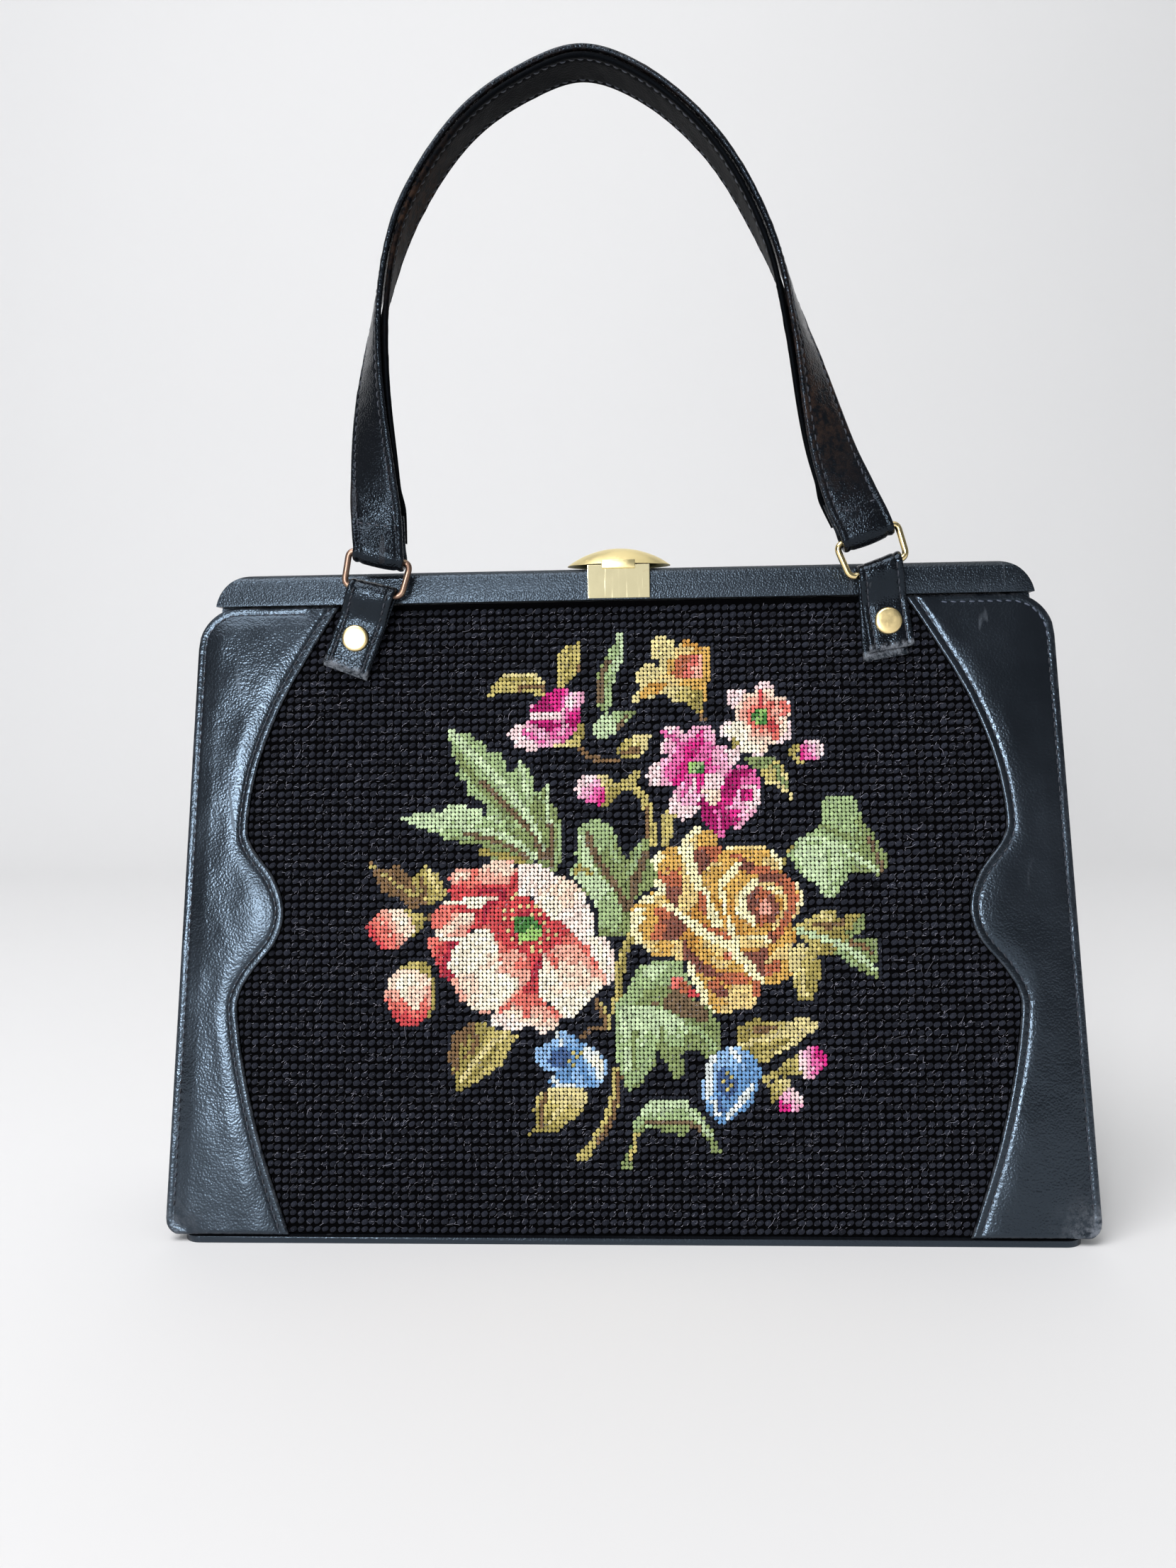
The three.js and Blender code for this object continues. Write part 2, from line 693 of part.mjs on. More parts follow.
function rivetProfile(tab) {
  const headFoot = 2 * tabThickness + 2 * seamGap;
  const washerFront = canvasDepthBehind(tab) + 2 * seamGap;
  return [
    ...rivetDome.map((row) => new THREE.Vector2(
      row.out * rivetHead, headFoot + row.rise * rivetHeadHeight,
    )),
    new THREE.Vector2(rivetShank, headFoot),
    new THREE.Vector2(rivetShank, -washerFront),
    new THREE.Vector2(rivetWasher, -washerFront),
    new THREE.Vector2(rivetWasher, -washerFront - rivetWasherHeight),
    new THREE.Vector2(0, -washerFront - rivetWasherHeight),
  ];
}

// How far the canvas's inner face lies behind the tab, at the rivet.
function canvasDepthBehind(tab) {
  const rivet = inTab(tab, 0, 0, 0);
  const canvasInner = wallHalfDepth(rivet.x, rivet.z) - leatherThickness - seamGap - canvasThickness;
  return -rivet.y - canvasInner;
}

// A rod along the rivet's axis, from behind the canvas to in front of the tab.
function rivetHole(tab) {
  const radius = rivetShank + pinClearance;
  const hole = new THREE.CylinderGeometry(radius, radius, 2 * rivetDrillReach, 12);
  return toManifold(hole.applyMatrix4(tabFrame(tab)));
}

function drilledForRivets(solid) {
  return Object.values(tabs).reduce((rest, tab) => rest.subtract(rivetHole(tab)), solid);
}

function tabSolid(tab) {
  return fromManifold(drilledForRivets(toManifold(strip(tabStations(tab), tabThickness))));
}

function rivet(tab) {
  const turned = new THREE.LatheGeometry(rivetProfile(tab).reverse(), 16);
  turned.rotateX(Math.PI);
  return closed(turned.applyMatrix4(tabFrame(tab)));
}

// Rings

function ringUp(tab) {
  const slant = THREE.MathUtils.degToRad(tab.ringSlant);
  return new THREE.Vector3(Math.sin(slant), 0, Math.cos(slant));
}

// The ring hangs in its tab's loop: its lower bar lies against the loop's top,
// and the strap's loop pulls its upper bar up in the same way.
function ringFootBar(tab) {
  return tabLoopCentre(tab).addScaledVector(ringUp(tab), ringSeat);
}

function strapLoopCentre(tab) {
  return ringFootBar(tab).addScaledVector(ringUp(tab), ringBars + ringSeat);
}

// Four-sided ring, a little wider at the top, with rounded corners.
function ringPath() {
  const topHalf = ringTopInner / 2 + ringWire;
  const footHalf = ringFootInner / 2 + ringWire;
  const corners = [
    new THREE.Vector2(-footHalf, 0),
    new THREE.Vector2(footHalf, 0),
    new THREE.Vector2(topHalf, ringBars),
    new THREE.Vector2(-topHalf, ringBars),
  ];
  const points = [];
  corners.forEach((corner, i) => {
    const before = corners[(i + 3) % 4].clone().sub(corner).normalize();
    const after = corners[(i + 1) % 4].clone().sub(corner).normalize();
    const start = corner.clone().addScaledVector(before, ringCorner);
    const end = corner.clone().addScaledVector(after, ringCorner);
    const bend = new THREE.QuadraticBezierCurve(start, corner, end);
    points.push(...bend.getPoints(4));
  });
  return points;
}

function ring(tab) {
  const path = ringPath();
  const sides = 6;
  const outward = path.map((point, i) => {
    const step = path[(i + 1) % path.length].clone().sub(path[(i + path.length - 1) % path.length]);
    return new THREE.Vector2(step.y, -step.x).normalize();
  });
  const guideRadius = 10;        // only tells the torus's wire from its run
  const torus = new THREE.TorusGeometry(guideRadius, 1, sides, path.length);
  const position = torus.attributes.position;
  for (let i = 0; i < position.count; i += 1) {
    const turn = Math.atan2(position.getY(i), position.getX(i)) / (2 * Math.PI);
    const step = Math.round((turn + 1) * path.length) % path.length;
    const out = (Math.hypot(position.getX(i), position.getY(i)) - guideRadius) * ringWire;
    const point = path[step].clone().addScaledVector(outward[step], out);
    position.setXYZ(i, point.x, -position.getZ(i) * ringWire, point.y);
  }
  const solid = closed(torus);
  solid.rotateY(THREE.MathUtils.degToRad(tab.ringSlant));
  const foot = ringFootBar(tab);
  return solid.translate(foot.x, foot.y, foot.z);
}

// Handle

const handleStart = strapLoopCentre(tabs.left);
const handleEnd = strapLoopCentre(tabs.right);
const handleLine = new THREE.CatmullRomCurve3([
  handleStart,
  ...handleArch.map((row) => new THREE.Vector3(
    row.across * tabSpread,
    (handleStart.y + handleEnd.y) / 2,
    handleStart.z + row.rise * handleRise,
  )),
  handleEnd,
], false, 'centripetal');
handleLine.arcLengthDivisions = 800;
const handleLength = handleLine.getLength();

// Axes of the strap at a distance along it: face points out of its outer side,
// across runs along its width. The face looks at the viewer by the rings and
// turns outwards by a quarter as the strap climbs.
function strapAxes(distance) {
  const share = THREE.MathUtils.clamp(distance / handleLength, 0, 1);
  const point = handleLine.getPointAt(share);
  const along = handleLine.getTangentAt(share);
  const fromEnd = Math.min(distance, handleLength - distance);
  const climbed = THREE.MathUtils.clamp(fromEnd / twistLength, 0, 1);
  const turn = (Math.PI / 2) * Math.sin((Math.PI / 2) * climbed ** twistHaste);
  const outward = new THREE.Vector3(-along.z, 0, along.x);
  const viewer = new THREE.Vector3(0, -1, 0);
  const face = viewer.clone().multiplyScalar(Math.cos(turn)).addScaledVector(outward, Math.sin(turn));
  const square = along.clone().cross(face).normalize();
  const tab = distance < handleLength / 2 ? tabs.left : tabs.right;
  const sense = distance < handleLength / 2 ? 1 : -1;
  const bar = slantedAcross(tab.ringSlant).multiplyScalar(sense);
  const across = bar.lerp(square, smooth(fromEnd / squareLength)).normalize();
  return { point, along, face, across };
}

function strapStation(distance, forward) {
  const axes = strapAxes(distance);
  return {
    point: axes.point.addScaledVector(axes.face, forward),
    across: axes.across.multiplyScalar(strapWidth / 2),
  };
}

// The strap's end at one ring: down behind it, under its bar and up in front.
function strapEndStations(atStart) {
  const place = (height) => (atStart ? height : handleLength - height);
  const stations = [];
  for (let i = 0; i <= 3; i += 1) {
    const height = THREE.MathUtils.lerp(returnLength, returnSettle, i / 3);
    stations.push(strapStation(place(height), -strapMiddle));
  }
  for (let i = 1; i < 4; i += 1) {
    const height = THREE.MathUtils.lerp(returnSettle, 0, i / 4);
    const forward = THREE.MathUtils.lerp(-strapMiddle, -strapLoop, smooth(i / 4));
    stations.push(strapStation(place(height), forward));
  }
  const axes = strapAxes(place(0));
  const up = ringUp(atStart ? tabs.left : tabs.right);
  for (let i = 0; i <= 8; i += 1) {
    const angle = Math.PI * (1 + i / 8);
    stations.push({
      point: axes.point.clone()
        .addScaledVector(axes.face, strapLoop * Math.cos(angle))
        .addScaledVector(up, strapLoop * Math.sin(angle)),
      across: axes.across.clone().multiplyScalar(strapWidth / 2),
    });
  }
  for (let i = 1; i <= 4; i += 1) {
    const height = THREE.MathUtils.lerp(0, frontSettle, i / 4);
    const forward = THREE.MathUtils.lerp(strapLoop, strapMiddle, smooth(i / 4));
    stations.push(strapStation(place(height), forward));
  }
  return stations;
}

function handleStrap() {
  const first = strapEndStations(true);
  const last = strapEndStations(false).reverse();
  const steps = 66;
  const middle = [];
  for (let i = 1; i < steps; i += 1) {
    const distance = THREE.MathUtils.lerp(frontSettle, handleLength - frontSettle, i / steps);
    middle.push(strapStation(distance, strapMiddle));
  }
  return strip([...first, ...middle, ...last], strapThickness);
}

function handleLining() {
  const steps = 68;
  const stations = [];
  for (let i = 0; i <= steps; i += 1) {
    const distance = THREE.MathUtils.lerp(liningStart, handleLength - liningStart, i / steps);
    const fromEnd = Math.min(distance, handleLength - distance);
    const flat = smooth((fromEnd - liningLeave) / (liningSettle - liningLeave));
    stations.push(strapStation(distance, -THREE.MathUtils.lerp(liningOverReturn, liningMiddle, flat)));
  }
  return strip(stations, liningThickness);
}

// Assembly

const bag = new THREE.Group();

function addPiece(name, geometry, finish) {
  const mesh = new THREE.Mesh(geometry, new THREE.MeshStandardMaterial(finishes[finish]));
  mesh.name = name;
  bag.add(mesh);
}

addPiece('needlepoint_panel', needlepointPanel(), 'wool');
addPiece('leather_side_left', leatherSide(-1), 'leather');
addPiece('leather_side_right', leatherSide(1), 'leather');
addPiece('back_panel', backPanel(), 'leather');
addPiece('gusset_left', gusset(-1), 'leather');
addPiece('gusset_right', gusset(1), 'leather');
addPiece('base_panel', basePanel(), 'leather');
addPiece('frame_front', frameHalf(true), 'leather');
addPiece('frame_back', frameHalf(false), 'leather');
addPiece('frame_pin_left', framePin(-1), 'steel');
addPiece('frame_pin_right', framePin(1), 'steel');
addPiece('clasp_plate', claspPlate(), 'brass');
addPiece('clasp_bracket', claspBracket(), 'brass');
addPiece('clasp_pin', claspPin(), 'brass');
addPiece('clasp_lever', claspLever(), 'brass');
addPiece('tab_left', tabSolid(tabs.left), 'leather');
addPiece('tab_right', tabSolid(tabs.right), 'leather');
addPiece('rivet_left', rivet(tabs.left), 'brass');
addPiece('rivet_right', rivet(tabs.right), 'brass');
addPiece('ring_left', ring(tabs.left), 'copper');
addPiece('ring_right', ring(tabs.right), 'brass');
addPiece('handle_strap', handleStrap(), 'leather');
addPiece('handle_lining', handleLining(), 'leather');

export default bag;
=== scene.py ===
import math

import bmesh
import bpy
import numpy as np
from bpy.props import FloatProperty, FloatVectorProperty, IntProperty, PointerProperty
from mathutils import Matrix, Vector


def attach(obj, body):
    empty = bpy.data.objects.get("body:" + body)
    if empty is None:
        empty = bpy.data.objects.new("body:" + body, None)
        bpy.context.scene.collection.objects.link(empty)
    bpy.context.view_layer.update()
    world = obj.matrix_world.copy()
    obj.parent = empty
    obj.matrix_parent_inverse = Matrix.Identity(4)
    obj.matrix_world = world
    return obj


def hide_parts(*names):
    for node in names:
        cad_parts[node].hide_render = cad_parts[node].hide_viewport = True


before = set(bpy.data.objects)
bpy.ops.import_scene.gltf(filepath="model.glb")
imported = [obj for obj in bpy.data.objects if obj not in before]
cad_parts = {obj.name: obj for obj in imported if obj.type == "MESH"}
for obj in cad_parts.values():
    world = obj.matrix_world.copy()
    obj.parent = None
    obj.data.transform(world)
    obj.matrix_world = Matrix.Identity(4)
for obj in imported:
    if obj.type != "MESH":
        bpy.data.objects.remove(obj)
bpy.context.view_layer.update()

bl_info = {
    "name": "Needlepoint handbag",
    "version": (1, 0, 0),
    "blender": (4, 5, 0),
    "location": "3D View > Sidebar > Handbag",
    "description": "Dresses the packed handbag in leather, wool stitches and metal",
    "category": "Object",
}

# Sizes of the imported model, in millimetres
SEAM_GAP = 0.3
BASE_THICKNESS = 2.0
BODY_HEIGHT = 199.6
FOOT_HALF_WIDTH = 146.4
SHOULDER_HALF_WIDTH = 138.0
FOOT_RADIUS = 5.0
SHOULDER_RADIUS = 13.0
FOOT_HALF_DEPTH = 37.6
MOUTH_HALF_DEPTH = 10.5
BELLY_RISE = 4.0
LEATHER_THICKNESS = 1.6
GUSSET_THICKNESS = 1.2
CANVAS_UNDER_LEATHER = 6.0
GUSSET_FLANGE = 5.0
GUSSET_INSET = 1.5
GUSSET_FOLD = 13.0
GUSSET_NECK_START = 0.6
GUSSET_NECK_END = 0.82
GUSSET_TOP_DROP = 2.5
FRAME_HALF_WIDTH = 132.5
BAR_HEIGHT = 10.0
BAR_DEPTH = 11.7
LEG_WIDTH = 6.0
PLATE_THICKNESS = 0.7
CAP_HALF_WIDTH = 16.9
CAP_HALF_DEPTH = 9.2
CAP_HEIGHT = 5.6
CAP_WALL = 1.0
CAP_LIFT = 0.5
NECK_START = 0.85
TONGUE_WIDTH = 10.7
TONGUE_THICKNESS = 0.8
TONGUE_DROP = 1.7
CLASP_AXIS_SETBACK = 8.0
BARREL_RADIUS = 1.8
BARREL_HALF_LENGTH = 6.0
TAB_THICKNESS = 1.5
TAB_LEAN = 3.0
TAB_SETTLE = 5.3
TAB_SPREAD = 85.2
RIVET_BELOW_BAR = 11.0
LOOP_RADIUS = 2.0
RING_WIRE = 1.05
RING_BARS = 11.2
RING_TOP_INNER = 18.2
RING_FOOT_INNER = 16.8
RING_CORNER = 2.5
RIVET_HEAD = 4.3
RIVET_HEAD_HEIGHT = 1.3
STRAP_WIDTH = 16.8
STRAP_THICKNESS = 1.9
LINING_THICKNESS = 1.8
HANDLE_RISE = 151.0
LAYER_GAP = 0.5
TWIST_LENGTH = 115.0
TWIST_HASTE = 1.2
SQUARE_LENGTH = 25.0
FRONT_SETTLE = 12.0
RETURN_SETTLE = 4.3
RETURN_LENGTH = 13.0
LINING_START = 5.5
LINING_LEAVE = 14.0
LINING_SETTLE = 21.0

# Heights and places that follow from them
WALL_FOOT = BASE_THICKNESS + SEAM_GAP
WALL_TOP = WALL_FOOT + BODY_HEIGHT
BAR_FOOT = WALL_TOP + SEAM_GAP
BAR_TOP = BAR_FOOT + BAR_HEIGHT
FRAME_FRONT = -SEAM_GAP - BAR_DEPTH
PLATE_TOP = BAR_TOP + SEAM_GAP + PLATE_THICKNESS
CAP_RIM = PLATE_TOP + CAP_LIFT
CLASP_AXIS_HEIGHT = PLATE_TOP + CAP_LIFT + BARREL_RADIUS
CANVAS_DEPTH = LEATHER_THICKNESS + SEAM_GAP

TABS = {
    "left": dict(side=-1, rise=-0.6, slant=21, ring_slant=14, width=15.2,
                 loop=15.6, front_end=10.8, rear_end=11.6, shift=0),
    "right": dict(side=1, rise=1.9, slant=-9, ring_slant=-20, width=14.4,
                  loop=16.5, front_end=8.9, rear_end=11.3, shift=-2),
}

# Scalloped edge: share of the wall's height, share of the foot's half width
SCALLOP = (
    (0.00, 0.727), (0.13, 0.787), (0.25, 0.827), (0.34, 0.845), (0.375, 0.841),
    (0.41, 0.814), (0.46, 0.760), (0.51, 0.744), (0.56, 0.767), (0.61, 0.817),
    (0.65, 0.827), (0.74, 0.806), (0.84, 0.754), (0.94, 0.677), (1.00, 0.625),
)

# Middle line of the handle: share of the tabs' spread, share of its rise
HANDLE_ARCH = (
    (-0.911, 0.155), (-0.910, 0.340), (-0.863, 0.538), (-0.760, 0.713),
    (-0.545, 0.881), (-0.320, 0.965), (-0.106, 1.000), (0.115, 0.953),
    (0.374, 0.820), (0.568, 0.624), (0.681, 0.428), (0.798, 0.188),
)

# A rivet's head from its middle outwards: share of its radius, share of its height
RIVET_DOME = (
    (0.001, 1.0), (0.5, 0.995), (0.8, 0.97), (0.91, 0.88), (0.97, 0.65), (1.0, 0.3), (0.99, 0.0),
)
RIVET_SHANK = 1.5
RIVET_SHANK_LENGTH = 10.0

# Finishes of the leather, by kind of piece: shade and pore depth over the settings' own,
# creases in millimetres. Handled leather is rubbed brown instead of grey.
LEATHERS = {
    "body": dict(shade=1.0, handled=False, pore_size=1.0, pore_depth=1000,
                 roughness=0.26, creases=0.0, polish=0.74),
    "frame": dict(shade=1.0, handled=False, pore_size=0.8, pore_depth=2000,
                  roughness=0.29, creases=0.0, polish=0.75),
    "handle": dict(shade=0.7, handled=True, pore_size=0.9, pore_depth=2400,
                   roughness=0.19, creases=0.8, polish=0.3),
    # The lining's low shade darkens its own black leather further as painted shade on the handle's
    # underside
    "lining": dict(shade=0.3, handled=True, pore_size=0.9, pore_depth=1400,
                   roughness=0.5, creases=0.25, polish=0.03),
    "tab": dict(shade=0.7, handled=False, pore_size=0.9, pore_depth=1800,
                roughness=0.2, creases=0.6, polish=0.35),
}

# Finishes of the metal: the settings that colour it, and how rough, scratched and dull it is
METALS = {
    "pale brass": dict(colour="pale_brass", worn="worn_brass", roughness=0.09, scratches=0.3, dull=0.0),
    "polished brass": dict(colour="brass", worn="worn_brass", roughness=0.17, scratches=0.6, dull=0.0),
    "cap brass": dict(colour="cap_brass", worn="brass", roughness=0.32, scratches=0.3, dull=0.0),
    "satin brass": dict(colour="brass", worn="worn_brass", roughness=0.34, scratches=0.5, dull=0.0),
    "worn ring": dict(colour="copper", worn="worn_brass", roughness=0.38, scratches=0.5, dull=0.3),
}
PIN_STEEL = (0.55, 0.55, 0.56)
DULL_STEEL = (0.3, 0.3, 0.3)
# The canvas is real; its near-black, darker than the wool, is painted shade in the gaps between stitches
CANVAS_GAP_SHADE = (0.0008, 0.0008, 0.001)

# Folds sharper than this stay crisp and get a small rounding
SHARP_FOLD = math.radians(32)

# Relief of the padded sides: shares of their width, and millimetres
CREST_SHARE = 0.3
PADDING_FALL = 0.45
FULL_PADDING_WIDTH = 26.0
SEAM_DEPTH = 0.22
SCALLOP_DENT = 0.07
OUTER_DENT = 0.05

# Sewn stitches: share of the pitch that shows, their slant and how pale the threads are
STITCH_SHARE = 0.78
STITCH_SLANT = 0.12
STITCH_SINK = 0.35
THREAD_SHADES = (1.2, 3.0)
PALE_SHOULDER = {"left": 1.0, "right": 5.0}
FOOT_SCUFF = {"left": 0.35, "right": 0.9}
STRAP_SEAM_INSET = 2.2
TAB_SEAM_INSET = 2.1
TAB_STITCH_PITCH = 2.4

# Wool stitches: slant in degrees, fullness as a share of the pitch, faces along and across each
GROUND_STITCH = dict(slope=24, plump=0.33, along_steps=5, across_steps=4)
BOUQUET_STITCH = dict(slope=42, plump=0.52, along_steps=4, across_steps=2)
THREAD_MIXING = 0.28
THREAD_DEPTH = 0.85

# Loose fibres: radius in millimetres, share of long ones, slant and its spread in degrees
FIBRE_RADIUS = 0.035
LONG_FIBRES = 0.03
FIBRE_SLANT = (35, 32)

# Wool threads of the bouquet, as seen in daylight (red, green, blue out of 255)
THREADS = {
    "mint": (186, 208, 160), "sage": (150, 174, 118), "moss": (121, 137, 82), "bark": (104, 84, 60),
    "straw": (214, 198, 132), "khaki": (184, 168, 94), "olive": (146, 132, 66), "umber": (112, 84, 54),
    "cream": (254, 242, 214), "peach": (250, 214, 188), "salmon": (238, 164, 142), "coral": (224, 106, 92),
    "red": (196, 62, 64), "wine": (158, 38, 52), "blush": (247, 212, 212), "shell": (254, 228, 214),
    "pink": (238, 164, 192), "rose": (222, 92, 154), "hot": (204, 34, 116), "plum": (152, 20, 84),
    "ivory": (252, 240, 184), "sand": (224, 194, 122), "gold": (206, 158, 74), "ochre": (184, 128, 54),
    "rust": (178, 94, 62), "cocoa": (122, 70, 56), "navy": (58, 84, 130), "blue": (94, 140, 190),
    "sky": (136, 176, 220), "ice": (222, 230, 226), "fern": (58, 112, 50), "lime": (142, 188, 96),
}

